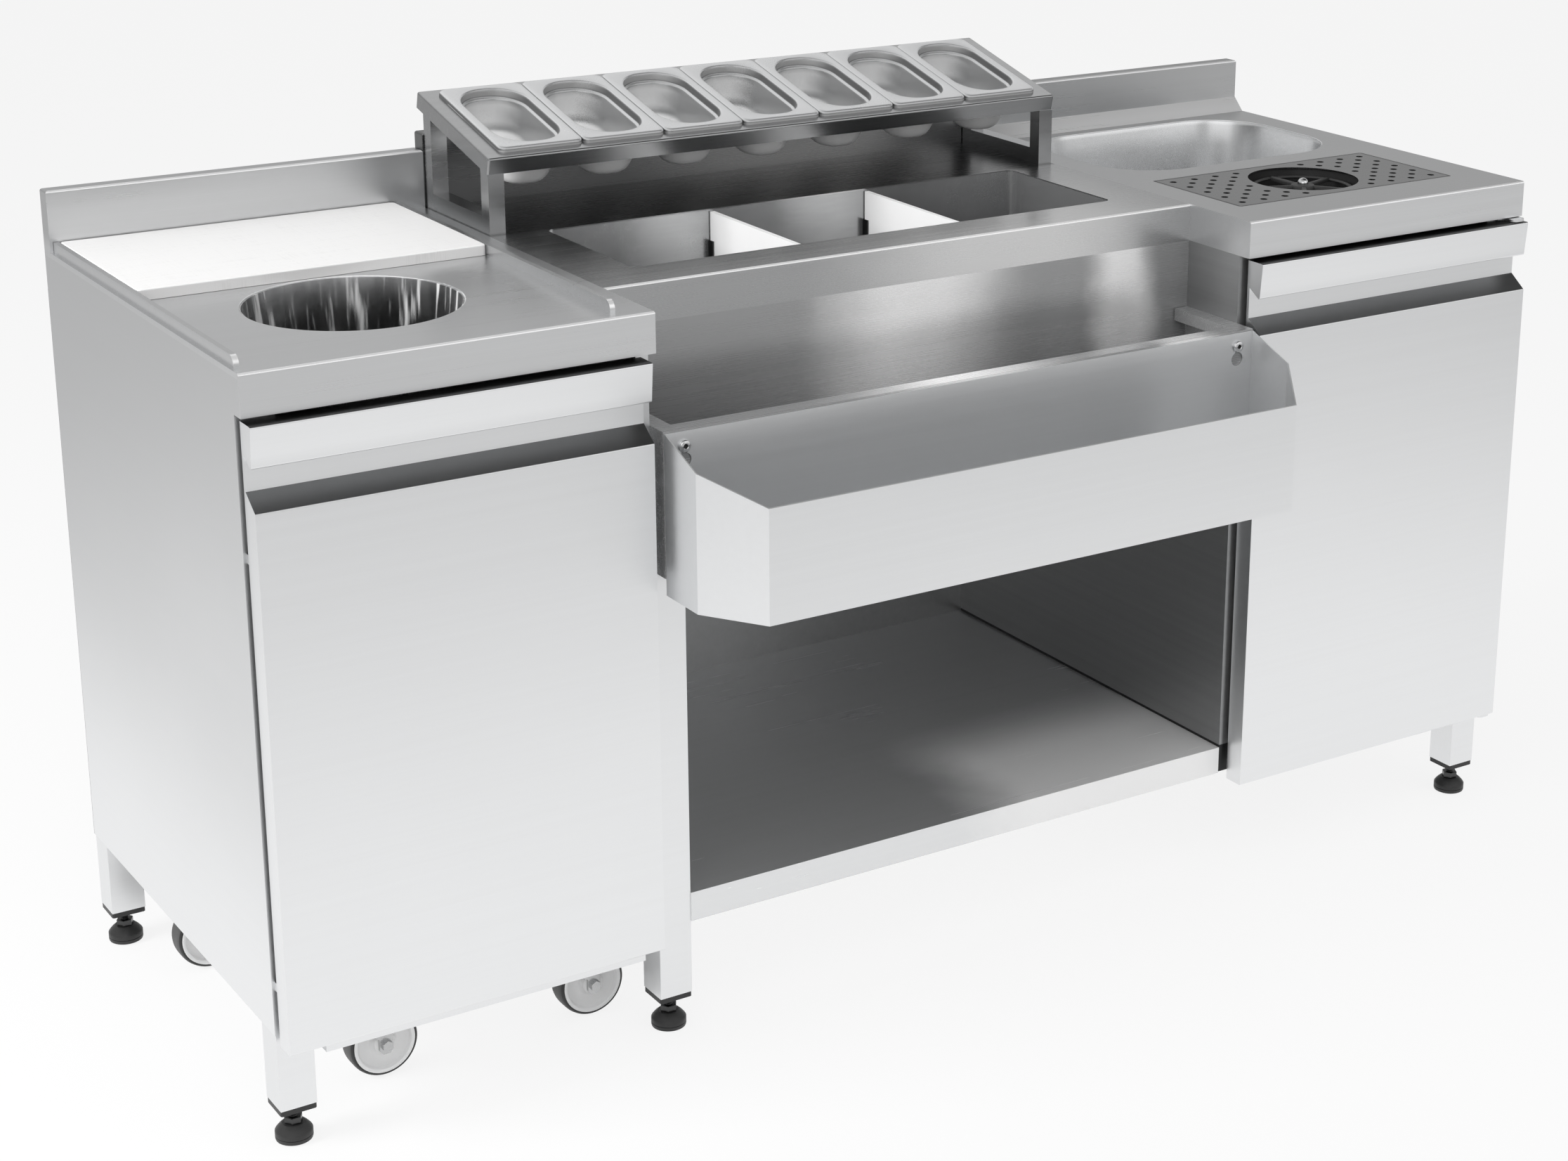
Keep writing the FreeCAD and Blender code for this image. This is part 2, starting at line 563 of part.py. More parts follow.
def make_bath():
    top = folded_top(MIDDLE_LEFT, MIDDLE_RIGHT, BATH_SETBACK, UPSTAND_FRONT, MIDDLE_UPSTAND)
    opening = box(BATH_LEFT, BATH_RIGHT, BATH_FRONT, BATH_REAR, TOP_UNDER - 1, TOP_HEIGHT + 1)
    opening = round_edges(opening, BATH_CORNER, is_upright)
    save("bath_top", top.cut(opening))

    outer = box(
        BATH_LEFT - SHEET, BATH_RIGHT + SHEET, BATH_FRONT - SHEET, BATH_REAR + SHEET, BATH_FLOOR - SHEET, TOP_UNDER)
    outer = round_edges(outer, BATH_CORNER + SHEET, lambda edge: is_upright(edge) or lies_at(edge, BATH_FLOOR - SHEET))
    inner = box(BATH_LEFT, BATH_RIGHT, BATH_FRONT, BATH_REAR, BATH_FLOOR, TOP_UNDER + 1)
    inner = round_edges(inner, BATH_CORNER, lambda edge: is_upright(edge) or lies_at(edge, BATH_FLOOR))
    drain_x = (BATH_LEFT + BATH_RIGHT) / 2
    drain_y = (BATH_FRONT + BATH_REAR) / 2
    bore = rod(drain_x, drain_y, BATH_FLOOR - 3, DRAIN_RADIUS, 6)
    save("ice_bath", outer.cut(inner).cut(bore))

    pitch = (BATH_RIGHT - BATH_LEFT) / 3
    channels = []
    half = GUIDE_SLOT / 2
    low = BATH_FLOOR + 4 * BATH_CORNER
    high = TOP_HEIGHT - GUIDE_TOP_DROP
    for number in (1, 2):
        x = BATH_LEFT + pitch * number
        for wall, inward in ((BATH_FRONT, 1), (BATH_REAR, -1)):
            reach = wall + inward * GUIDE_REACH
            plan = [
                (x - half - SHEET, wall), (x + half + SHEET, wall), (x + half + SHEET, reach), (x + half, reach),
                (x + half, wall + inward * SHEET), (x - half, wall + inward * SHEET), (x - half, reach),
                (x - half - SHEET, reach)]
            channels.append(plan_prism(plan, low, high))
        sheet = box(
            x - DIVIDER_THICK / 2, x + DIVIDER_THICK / 2, BATH_FRONT + SHEET + LIFT_GAP, BATH_REAR - SHEET - LIFT_GAP,
            BATH_FLOOR + LIFT_GAP, TOP_HEIGHT - 3.0)
        foot_edges = [
            edge for edge in sheet.Edges
            if edge.BoundBox.XLength > DIVIDER_THICK - 1 and edge.BoundBox.YLength < 1 and edge.BoundBox.ZMax < BATH_FLOOR + 1]
        sheet = sheet.makeFillet(BATH_CORNER + 4, foot_edges)
        notches = []
        for share in (0.3, 0.7):
            y = BATH_FRONT + share * (BATH_REAR - BATH_FRONT)
            notches.append(rod(x - DIVIDER_THICK, y, BATH_FLOOR, 14.0, 2 * DIVIDER_THICK, AXIS_X))
        save("divider_%d" % number, sheet.cut(Part.makeCompound(notches)))
    save("divider_guides", *channels)

    sink_floor = TOP_UNDER - SINK_DROP
    save("drain_fittings", drain(drain_x, drain_y, BATH_FLOOR), drain(SINK_X, SINK_Y, sink_floor + SHEET))

    front = box(MIDDLE_LEFT, MIDDLE_RIGHT, BATH_SETBACK, BATH_SETBACK + SHEET, CASING_BOTTOM, APRON_BOTTOM)
    under = box(MIDDLE_LEFT, MIDDLE_RIGHT, BATH_SETBACK, CASING_REAR, CASING_BOTTOM, CASING_BOTTOM + SHEET)
    rear = box(MIDDLE_LEFT, MIDDLE_RIGHT, CASING_REAR - SHEET, CASING_REAR, CASING_BOTTOM, APRON_BOTTOM)
    port = rod(drain_x, drain_y, CASING_BOTTOM - 1, DRAIN_RADIUS + 6, SHEET + 2)
    save("bath_casing", join(front, under, rear).cut(port))


def make_trough():
    x0 = MIDDLE_LEFT
    x1 = MIDDLE_RIGHT
    back = BATH_SETBACK
    outer = box(x0, x1, TROUGH_FACE, back, TROUGH_FLOOR - SHEET, TROUGH_TOP)
    inner = box(
        x0 + SHEET, x1 - SHEET, TROUGH_FACE + SHEET, back - SHEET, TROUGH_FLOOR, TROUGH_TOP + 1)
    inner = round_edges(inner, FOLD_RADIUS, lambda edge: lies_at(edge, TROUGH_FLOOR))
    shell = outer.cut(inner)
    flange = box(x0, x1, TROUGH_FACE, back, TROUGH_TOP - EDGE_FOLD, TROUGH_TOP)
    pocket = box(
        x0 + SHEET, x1 - SHEET, TROUGH_FACE + SHEET, back, TROUGH_TOP - EDGE_FOLD - 1, TROUGH_TOP - SHEET)
    lip_outer = box(
        x0 + TROUGH_FLANGE, x1 - TROUGH_FLANGE, TROUGH_FACE + TROUGH_FLANGE, back + 1,
        TROUGH_TOP - EDGE_FOLD - 1, TROUGH_TOP + 1)
    lip = box(
        x0 + TROUGH_FLANGE - SHEET, x1 - TROUGH_FLANGE + SHEET, TROUGH_FACE + TROUGH_FLANGE - SHEET, back,
        TROUGH_TOP - EDGE_FOLD, TROUGH_TOP).cut(lip_outer)
    frame = join(flange.cut(pocket).cut(lip_outer), lip)
    weeps = []
    for step in range(9):
        x = x0 + (x1 - x0) * (step + 1) / 10
        weeps.append(rod(x, back / 2, TROUGH_FLOOR - 3, 4.0, 6))
    behind = box(x0 + SHEET, x1 - SHEET, back - SHEET, back + 1, CASING_BOTTOM + TROUGH_LAP, TROUGH_TOP + 1)
    save("bottle_trough", join(shell, frame).cut(Part.makeCompound(weeps + [behind])))

    screws = []
    for x in (x0 + SCREW_INSET, x1 - SCREW_INSET):
        head_seat = TROUGH_FACE - RAIL_GAP - SHEET - LIFT_GAP
        shank = rod(x, TROUGH_FACE, SCREW_HEIGHT, SCREW_SHANK, TROUGH_FACE - head_seat, AXIS_Y * -1)
        head = rod(x, head_seat, SCREW_HEIGHT, SCREW_HEAD, 4.0, AXIS_Y * -1)
        face = [edge for edge in head.Edges if edge.BoundBox.YMax < head_seat - 3.9]
        head = head.makeFillet(1.8, face)
        socket = rod(x, head_seat - 4.0, SCREW_HEIGHT, 2.5, 2.0, AXIS_Y)
        screws.append(join(shank, head).cut(socket))
    save("hanger_screws", *screws)


def make_speed_rail():
    x0 = MIDDLE_LEFT + RAIL_GAP
    x1 = MIDDLE_RIGHT - RAIL_GAP
    back = TROUGH_FACE - RAIL_GAP
    front = -RAIL_REACH
    knee = back - RAIL_SIDE
    outline = [(x0, back), (x0, knee), (x0 + RAIL_CORNER, front), (x1 - RAIL_CORNER, front), (x1, knee), (x1, back)]
    lean = math.hypot(RAIL_CORNER, knee - front)
    side_step = SHEET * (lean - (knee - front)) / RAIL_CORNER
    front_step = SHEET * (lean - RAIL_CORNER) / (knee - front)
    inside = [
        (x0 + SHEET, back - SHEET), (x0 + SHEET, knee + side_step),
        (x0 + RAIL_CORNER + front_step, front + SHEET), (x1 - RAIL_CORNER - front_step, front + SHEET),
        (x1 - SHEET, knee + side_step), (x1 - SHEET, back - SHEET)]
    shell = plan_prism(outline, RAIL_BOTTOM, RAIL_TOP).cut(plan_prism(inside, RAIL_BOTTOM + SHEET, RAIL_TOP + 1))
    slope = side_prism(
        [(back - SHEET, RAIL_TOP), (front - 1, RAIL_FRONT_TOP), (front - 1, RAIL_TOP + 1), (back - SHEET, RAIL_TOP + 1)],
        x0 - 1, x1 + 1)
    cuts = [slope]
    for x in (MIDDLE_LEFT + SCREW_INSET, MIDDLE_RIGHT - SCREW_INSET):
        neck = SCREW_SHANK + SLIDE_GAP
        low = SCREW_HEIGHT - KEYHOLE_DROP
        cuts.append(rod(x, back - SHEET - 1, SCREW_HEIGHT, neck, SHEET + 2, AXIS_Y))
        cuts.append(rod(x, back - SHEET - 1, low, KEYHOLE, SHEET + 2, AXIS_Y))
        cuts.append(box(x - neck, x + neck, back - SHEET - 1, back + 1, low, SCREW_HEIGHT))
    middle = (back + front) / 2
    for step in range(7):
        x = x0 + (x1 - x0) * (step + 1) / 8
        slot = box(x - 18, x + 18, middle - 4, middle + 4, RAIL_BOTTOM - 1, RAIL_BOTTOM + SHEET + 1)
        cuts.append(round_edges(slot, 3.9, is_upright))
    save("speed_rail", shell.cut(Part.makeCompound(cuts)))


def food_pan():
    rim = plate_outline(PAN_LENGTH, PAN_WIDTH, 9.0, 0.0, 6.0)
    groove = plate_outline(PAN_LENGTH - 2 * PAN_WALL, PAN_WIDTH - 2 * PAN_WALL, 8.0, -1.0, 6.0 - PAN_WALL)
    crest = 6.0
    step_at = crest - PAN_SHOULDER
    neck = plate_outline(PAN_MOUTH_LENGTH, PAN_MOUTH_WIDTH, PAN_MOUTH_RADIUS, step_at, crest)
    body = drawn_form(
        PAN_MOUTH_LENGTH - 6, PAN_MOUTH_WIDTH - 6, PAN_MOUTH_RADIUS - 3, step_at, crest - PAN_DEPTH, PAN_TAPER, 16.0)
    wall = 2 * PAN_WALL
    mouth = plate_outline(
        PAN_MOUTH_LENGTH - wall, PAN_MOUTH_WIDTH - wall, PAN_MOUTH_RADIUS - PAN_WALL, step_at + PAN_WALL, crest + 1)
    hollow = drawn_form(
        PAN_MOUTH_LENGTH - 6 - wall, PAN_MOUTH_WIDTH - 6 - wall, PAN_MOUTH_RADIUS - 3 - PAN_WALL,
        step_at + PAN_WALL + 1, crest - PAN_DEPTH + PAN_WALL, PAN_TAPER, 15.0)
    pan = join(rim.cut(groove), neck, body).cut(mouth).cut(hollow)
    pan.rotate(FreeCAD.Vector(), AXIS_Z, 90)
    return pan


def make_stand():
    length = MIDDLE_WIDTH - 2 * STAND_END_GAP
    ledge = (STAND_DEPTH - PAN_LENGTH) / 2 + 9.0
    side = (length - PAN_COUNT * PAN_PITCH) / 2
    outer = box(0, length, 0, STAND_DEPTH, -STAND_APRON, 0)
    outer = round_edges(outer, 2.5, lambda edge: lies_at(edge, 0.0) or is_upright(edge))
    opening = box(side, length - side, ledge, STAND_DEPTH - ledge, -STAND_APRON - 1, 1)
    opening = round_edges(opening, 6.0, is_upright)
    trench = box(SHEET, length - SHEET, SHEET, STAND_DEPTH - SHEET, -STAND_APRON - 1, -SHEET)
    trench = trench.cut(box(
        side - SHEET, length - side + SHEET, ledge - SHEET, STAND_DEPTH - ledge + SHEET, -STAND_APRON - 2, 0))
    collar_cut = box(
        side - SHEET - 1, length - side + SHEET + 1, ledge - SHEET - 1, STAND_DEPTH - ledge + SHEET + 1,
        -STAND_APRON - 2, -8.0)
    frame = on_stand(outer.cut(opening).cut(trench).cut(collar_cut.common(box(
        SHEET, length - SHEET, SHEET, STAND_DEPTH - SHEET, -STAND_APRON - 2, -8.0))))
    pieces = [frame]
    ceiling = on_stand(box(-5, length + 5, -STAND_DEPTH, 2 * STAND_DEPTH, -TOP_HEIGHT, -STAND_APRON))
    low = TOP_HEIGHT
    for x0 in (MIDDLE_LEFT + STAND_END_GAP, MIDDLE_RIGHT - STAND_END_GAP - STAND_TUBE):
        x1 = x0 + STAND_TUBE
        for y0 in (STAND_LEG_FRONT, STAND_LEG_REAR):
            post = square_tube(x0, x1, y0, y0 + STAND_TUBE, low, STAND_FRONT_TOP + STAND_RISE, "z")
            pieces.append(post.common(ceiling))
        pieces.append(square_tube(x0, x1, STAND_LEG_FRONT + STAND_TUBE, STAND_LEG_REAR, low, low + STAND_TUBE, "y"))
    save("stand_frame", *pieces)

    pan = food_pan()
    for number in range(PAN_COUNT):
        x = side + PAN_PITCH * (number + 0.5)
        save("pan_%d" % (number + 1), on_stand(at(pan, x, STAND_DEPTH / 2, LIFT_GAP)))


def make_right_top():
    top = folded_top(MIDDLE_RIGHT, WIDTH, 0.0, UPSTAND_FRONT, SIDE_UPSTAND, WIDTH - SHEET)
    cove = side_prism(
        [(UPSTAND_FRONT - SHEET, TOP_HEIGHT), (UPSTAND_FRONT - SHEET, TOP_HEIGHT + COVE), (UPSTAND_FRONT - SHEET - COVE, TOP_HEIGHT)],
        MIDDLE_RIGHT, WIDTH)
    sink_cut = at(plate_outline(SINK_WIDTH, SINK_DEPTH, SINK_RADIUS, TOP_UNDER - 1, TOP_HEIGHT + 1), SINK_X, SINK_Y)
    tray_cut = at(plate_outline(RINSER_WIDTH, RINSER_DEPTH, 4.0, TOP_UNDER - 1, TOP_HEIGHT + 1), RINSER_X, RINSER_Y)
    top = join(top, cove).cut(Part.makeCompound([sink_cut, tray_cut]))
    rims = [
        edge for edge in top.Edges
        if lies_at(edge, TOP_HEIGHT) and abs(edge.BoundBox.Center.x - SINK_X) < SINK_WIDTH / 2 + 1
        and abs(edge.BoundBox.Center.y - SINK_Y) < SINK_DEPTH / 2 + 1]
    save("right_worktop", top.makeFillet(1.0, rims))

    floor = TOP_UNDER - SINK_DROP
    outer = drawn_form(
        SINK_WIDTH + 2 * SHEET, SINK_DEPTH + 2 * SHEET, SINK_RADIUS + SHEET, TOP_UNDER, floor, SINK_TAPER, SINK_BLEND)
    inner = drawn_form(
        SINK_WIDTH, SINK_DEPTH, SINK_RADIUS, TOP_UNDER, floor + SHEET, SINK_TAPER, SINK_BLEND - SHEET)
    bore = rod(0, 0, floor - 2, DRAIN_RADIUS, 6)
    save("sink_bowl", at(outer.cut(inner).cut(bore), SINK_X, SINK_Y))

    low = TOP_HEIGHT - RINSER_DROP
    tray = plate_outline(RINSER_WIDTH + 2 * SHEET, RINSER_DEPTH + 2 * SHEET, 5.5, low - SHEET, TOP_UNDER)
    well = plate_outline(RINSER_WIDTH, RINSER_DEPTH, 4.0, low, TOP_HEIGHT)
    ledge_block = plate_outline(RINSER_WIDTH, RINSER_DEPTH, 4.0, TOP_UNDER - PLATE_EDGE - 3, TOP_UNDER - PLATE_EDGE)
    ledge_hole = plate_outline(RINSER_WIDTH - 16, RINSER_DEPTH - 16, 4.0, low, TOP_HEIGHT)
    outlet_x = RINSER_X + RINSER_WIDTH / 2 - OUTLET_INSET
    outlet_bore = OUTLET_RADIUS - 2.0
    shell = at(join(tray.cut(well), ledge_block.cut(ledge_hole)), RINSER_X, RINSER_Y)
    bores = [
        rod(RINSER_X, RINSER_Y, low - 3, VALVE_RADIUS + SLIDE_GAP, 6), rod(outlet_x, RINSER_Y, low - 3, outlet_bore, 6)]
    spout = turned(
        [
            (outlet_bore, low - OUTLET_LENGTH), (OUTLET_RADIUS, low - OUTLET_LENGTH),
            (OUTLET_RADIUS, low - SHEET), (outlet_bore, low - SHEET),
        ],
        outlet_x, RINSER_Y)
    save("rinser_tray", join(shell.cut(Part.makeCompound(bores)), spout))

    body = turned(
        [
            (STAR_STEM + RUNNING_FIT, low - 20), (VALVE_RADIUS, low - 20), (VALVE_RADIUS, low), (19, low), (19, low + 4),
            (15, low + 8), (15, low + VALVE_HEIGHT), (STAR_STEM + RUNNING_FIT, low + VALVE_HEIGHT),
        ],
        RINSER_X, RINSER_Y)
    inlet = turned(
        [(6, low - INLET_LENGTH), (VALVE_RADIUS, low - INLET_LENGTH), (VALVE_RADIUS, low - 20), (6, low - 20)],
        RINSER_X, RINSER_Y)
    nut = turned(
        [(VALVE_RADIUS, low - 12), (17, low - 12), (17, low - SHEET), (VALVE_RADIUS, low - SHEET)], RINSER_X, RINSER_Y)
    save("rinser_valve", join(body, inlet, nut))

    rim = TOP_UNDER - SHEET
    bore = 19.0 + SLIDE_GAP
    cup = turned(
        [
            (bore, low), (CUP_RADIUS, low), (CUP_RADIUS, rim), (CUP_RADIUS - CUP_WALL, rim),
            (CUP_RADIUS - CUP_WALL, low + CUP_WALL + 6), (CUP_RADIUS - CUP_WALL - 6, low + CUP_WALL), (bore, low + CUP_WALL),
        ],
        RINSER_X, RINSER_Y)
    weeps = []
    for step in range(12):
        turn = 2 * math.pi * step / 12
        reach = CUP_RADIUS - 20
        weeps.append(rod(RINSER_X + reach * math.cos(turn), RINSER_Y + reach * math.sin(turn), low - 1, 5.0, CUP_WALL + 2))
    save("rinser_cup", cup.cut(Part.makeCompound(weeps)))

    seat = low + VALVE_HEIGHT + 10
    stem = rod(RINSER_X, RINSER_Y, low - 6, STAR_STEM, seat - low + 6)
    hub = turned([(0, seat), (15, seat), (17, seat + 3), (15, seat + 7), (0, seat + 7)], RINSER_X, RINSER_Y)
    ball = Part.makeSphere(7.0, FreeCAD.Vector(RINSER_X, RINSER_Y, seat + 8))
    pieces = [hub, ball]
    for step in range(5):
        turn = 90.0 + 72.0 * step
        arm = box(10.0, STAR_ARM, -3.5, 3.5, seat + 1, seat + 6)
        arm = round_edges(arm, 2.0, lambda edge: lies_at(edge, seat + 6))
        arm.rotate(FreeCAD.Vector(), AXIS_Z, turn)
        pieces.append(at(arm, RINSER_X, RINSER_Y))
    hoop = turned(
        [(STAR_ARM - 3, seat + 1), (STAR_ARM + 3, seat + 1), (STAR_ARM + 3, seat + 5), (STAR_ARM - 3, seat + 5)],
        RINSER_X, RINSER_Y)
    save("rinser_star", join(stem, hoop, *pieces))

    crest = TOP_HEIGHT
    outer = plate_outline(
        RINSER_WIDTH - 2 * PLATE_GAP, RINSER_DEPTH - 2 * PLATE_GAP, 3.5, TOP_UNDER - PLATE_EDGE + LIFT_GAP, crest)
    inside = plate_outline(
        RINSER_WIDTH - 2 * PLATE_GAP - 2 * SHEET, RINSER_DEPTH - 2 * PLATE_GAP - 2 * SHEET, 2.0,
        TOP_UNDER - PLATE_EDGE - 1, crest - SHEET)
    plate = outer.cut(inside)
    holes = [rod(0, 0, crest - 3, RINSER_HOLE, 5)]
    reach = RINSER_WIDTH / 2 - PERFORATION_MARGIN
    near = RINSER_DEPTH / 2 - PERFORATION_MARGIN
    rows = int(2 * near / PERFORATION_PITCH)
    columns = int(reach / PERFORATION_PITCH)
    for side in (-1, 1):
        for column in range(columns):
            for row in range(column % 2, rows + 1, 2):
                x = side * (reach - column * PERFORATION_PITCH)
                y = row * PERFORATION_PITCH - near
                if math.hypot(x, y) > RINSER_HOLE + 2 * PERFORATION:
                    holes.append(rod(x, y, crest - 3, PERFORATION, 5))
    plate = plate.cut(Part.makeCompound(holes))
    save("drip_plate", at(plate, RINSER_X, RINSER_Y))


def make_door():
    leaf = folded_front(DOOR_LEFT, DOOR_RIGHT)
    depth = 14.0
    sockets = []
    bores = []
    for z0, z1 in ((FRONT_BOTTOM, FRONT_BOTTOM + depth), (FRONT_TOP - depth, FRONT_TOP)):
        sockets.append(rod(PIVOT_X, PIVOT_Y, z0, PIVOT_PIN_RADIUS + 3, z1 - z0))
        bores.append(rod(PIVOT_X, PIVOT_Y, z0 - 1, PIVOT_PIN_RADIUS + RUNNING_FIT, z1 - z0 + 2))
    stop = []
    for z0 in (FRONT_BOTTOM + depth, FRONT_TOP - depth - SHEET):
        stop.append(rod(PIVOT_X, PIVOT_Y, z0, PIVOT_PIN_RADIUS + 3, SHEET))
    leaf = join(leaf, *sockets).cut(Part.makeCompound(bores))
    save("door", join(leaf, *stop))

    brackets = []
    half = 11.0
    tab = CARCASS_FRONT - SHEET
    for low, pin0, pin1, tab0, tab1 in (
            (FRONT_BOTTOM - PIVOT_PLATE - 1.0, FRONT_BOTTOM - 1.0, FRONT_BOTTOM + depth - 2,
             FRONT_BOTTOM - PIVOT_PLATE - 1.0, PANEL_BOTTOM + 18),
            (FRONT_TOP + 1.0, FRONT_TOP - depth + 2, FRONT_TOP + 1.0,
             FRONT_TOP - 18, FRONT_TOP + 1.0 + PIVOT_PLATE)):
        plate = box(PIVOT_X - half, PIVOT_X + half, PIVOT_Y - 9, CARCASS_FRONT, low, low + PIVOT_PLATE)
        plate = round_edges(plate, 8.0, lambda edge: is_upright(edge) and edge.BoundBox.YMax < PIVOT_Y)
        pin = rod(PIVOT_X, PIVOT_Y, pin0, PIVOT_PIN_RADIUS, pin1 - pin0)
        upright = box(PIVOT_X - half, PIVOT_X + half, tab, CARCASS_FRONT, tab0, tab1)
        brackets.append(join(plate, pin, upright))
    save("door_pivots", *brackets)


def castor(x, y, number):
    lean = 1 if y < BIN_Y else -1
    axle_x = x + lean * CASTOR_TRAIL
    gap = WHEEL_WIDTH / 2 + 1.3
    plate_low = PLATFORM_BOTTOM - 3.0
    crown_top = plate_low - 11.0
    crown = rod(x, y, crown_top - 4, 24.0, 4.0)
    pin = rod(x, y, crown_top, KINGPIN_RADIUS, plate_low - crown_top - 0.5)
    legs = []
    side = [
        (x - lean * 20, crown_top), (axle_x + lean * 2 * STRAP, crown_top), (axle_x + lean * 2 * STRAP, crown_top - 8),
        (axle_x + lean * STRAP, WHEEL_RADIUS + 8), (axle_x + lean * STRAP, WHEEL_RADIUS - 6),
        (axle_x + lean * (STRAP - 4), WHEEL_RADIUS - 11), (axle_x - lean * (STRAP - 4), WHEEL_RADIUS - 11),
        (axle_x - lean * STRAP, WHEEL_RADIUS - 6), (axle_x - lean * STRAP, WHEEL_RADIUS + 8), (x - lean * 14, crown_top - 16)]
    for y0, y1 in ((y - gap - 3.0, y - gap), (y + gap, y + gap + 3.0)):
        legs.append(front_prism(side, y0, y1))
    ends = sorted((x - lean * 20, axle_x + lean * 2 * STRAP))
    web = box(ends[0], ends[1], y - gap - 3, y + gap + 3, crown_top - 4, crown_top)
    bolt = rod(axle_x, y - gap - 3, WHEEL_RADIUS, AXLE_RADIUS, 2 * gap + 6, AXIS_Y)
    hexagon = []
    for step in range(6):
        turn = math.radians(60 * step + 30)
        hexagon.append((axle_x + 6.5 * math.cos(turn), WHEEL_RADIUS + 6.5 * math.sin(turn)))
    head = front_prism(hexagon, y - gap - 8.0, y - gap - 3.0)
    nut = front_prism(hexagon, y + gap + 3.0, y + gap + 9.0)
    save("castor_fork_%d" % number, join(crown, pin, web, bolt, head, nut, *legs))

    half = WHEEL_WIDTH / 2
    bore = AXLE_RADIUS + RUNNING_FIT
    hub = turned(
        [
            (bore, -half - 0.8), (9, -half - 0.8), (9, -half + 5), (23, -half + 7), (25, -half + 1), (HUB_RADIUS, -half + 1),
            (HUB_RADIUS, half - 1), (25, half - 1), (23, half - 7), (9, half - 5), (9, half + 0.8), (bore, half + 0.8),
        ],
        0, 0, AXIS_Y)
    tyre = turned(
        [
            (HUB_RADIUS, -half + 1), (34, -half), (38, -half + 2.5), (WHEEL_RADIUS, -half + 8), (WHEEL_RADIUS, half - 8),
            (38, half - 2.5), (34, half), (HUB_RADIUS, half - 1),
        ],
        0, 0, AXIS_Y)
    save("castor_wheel_%d" % number, at(hub, axle_x, y, WHEEL_RADIUS), at(tyre, axle_x, y, WHEEL_RADIUS))

    plate = box(x - 40, x + 40, y - 32, y + 32, plate_low, PLATFORM_BOTTOM)
    plate = round_edges(plate, 8.0, is_upright)
    race = turned([(0, crown_top + 1), (18, crown_top + 1), (22, plate_low - 2), (22, plate_low), (0, plate_low)], x, y)
    bore = rod(x, y, crown_top, KINGPIN_RADIUS + RUNNING_FIT, plate_low - crown_top)
    bolts = []
    for dx in (-30, 30):
        for dy in (-22, 22):
            bolts.append(rod(x + dx, y + dy, plate_low - 4, 5.0, 4.0))
    return join(plate, race.cut(bore), *bolts)


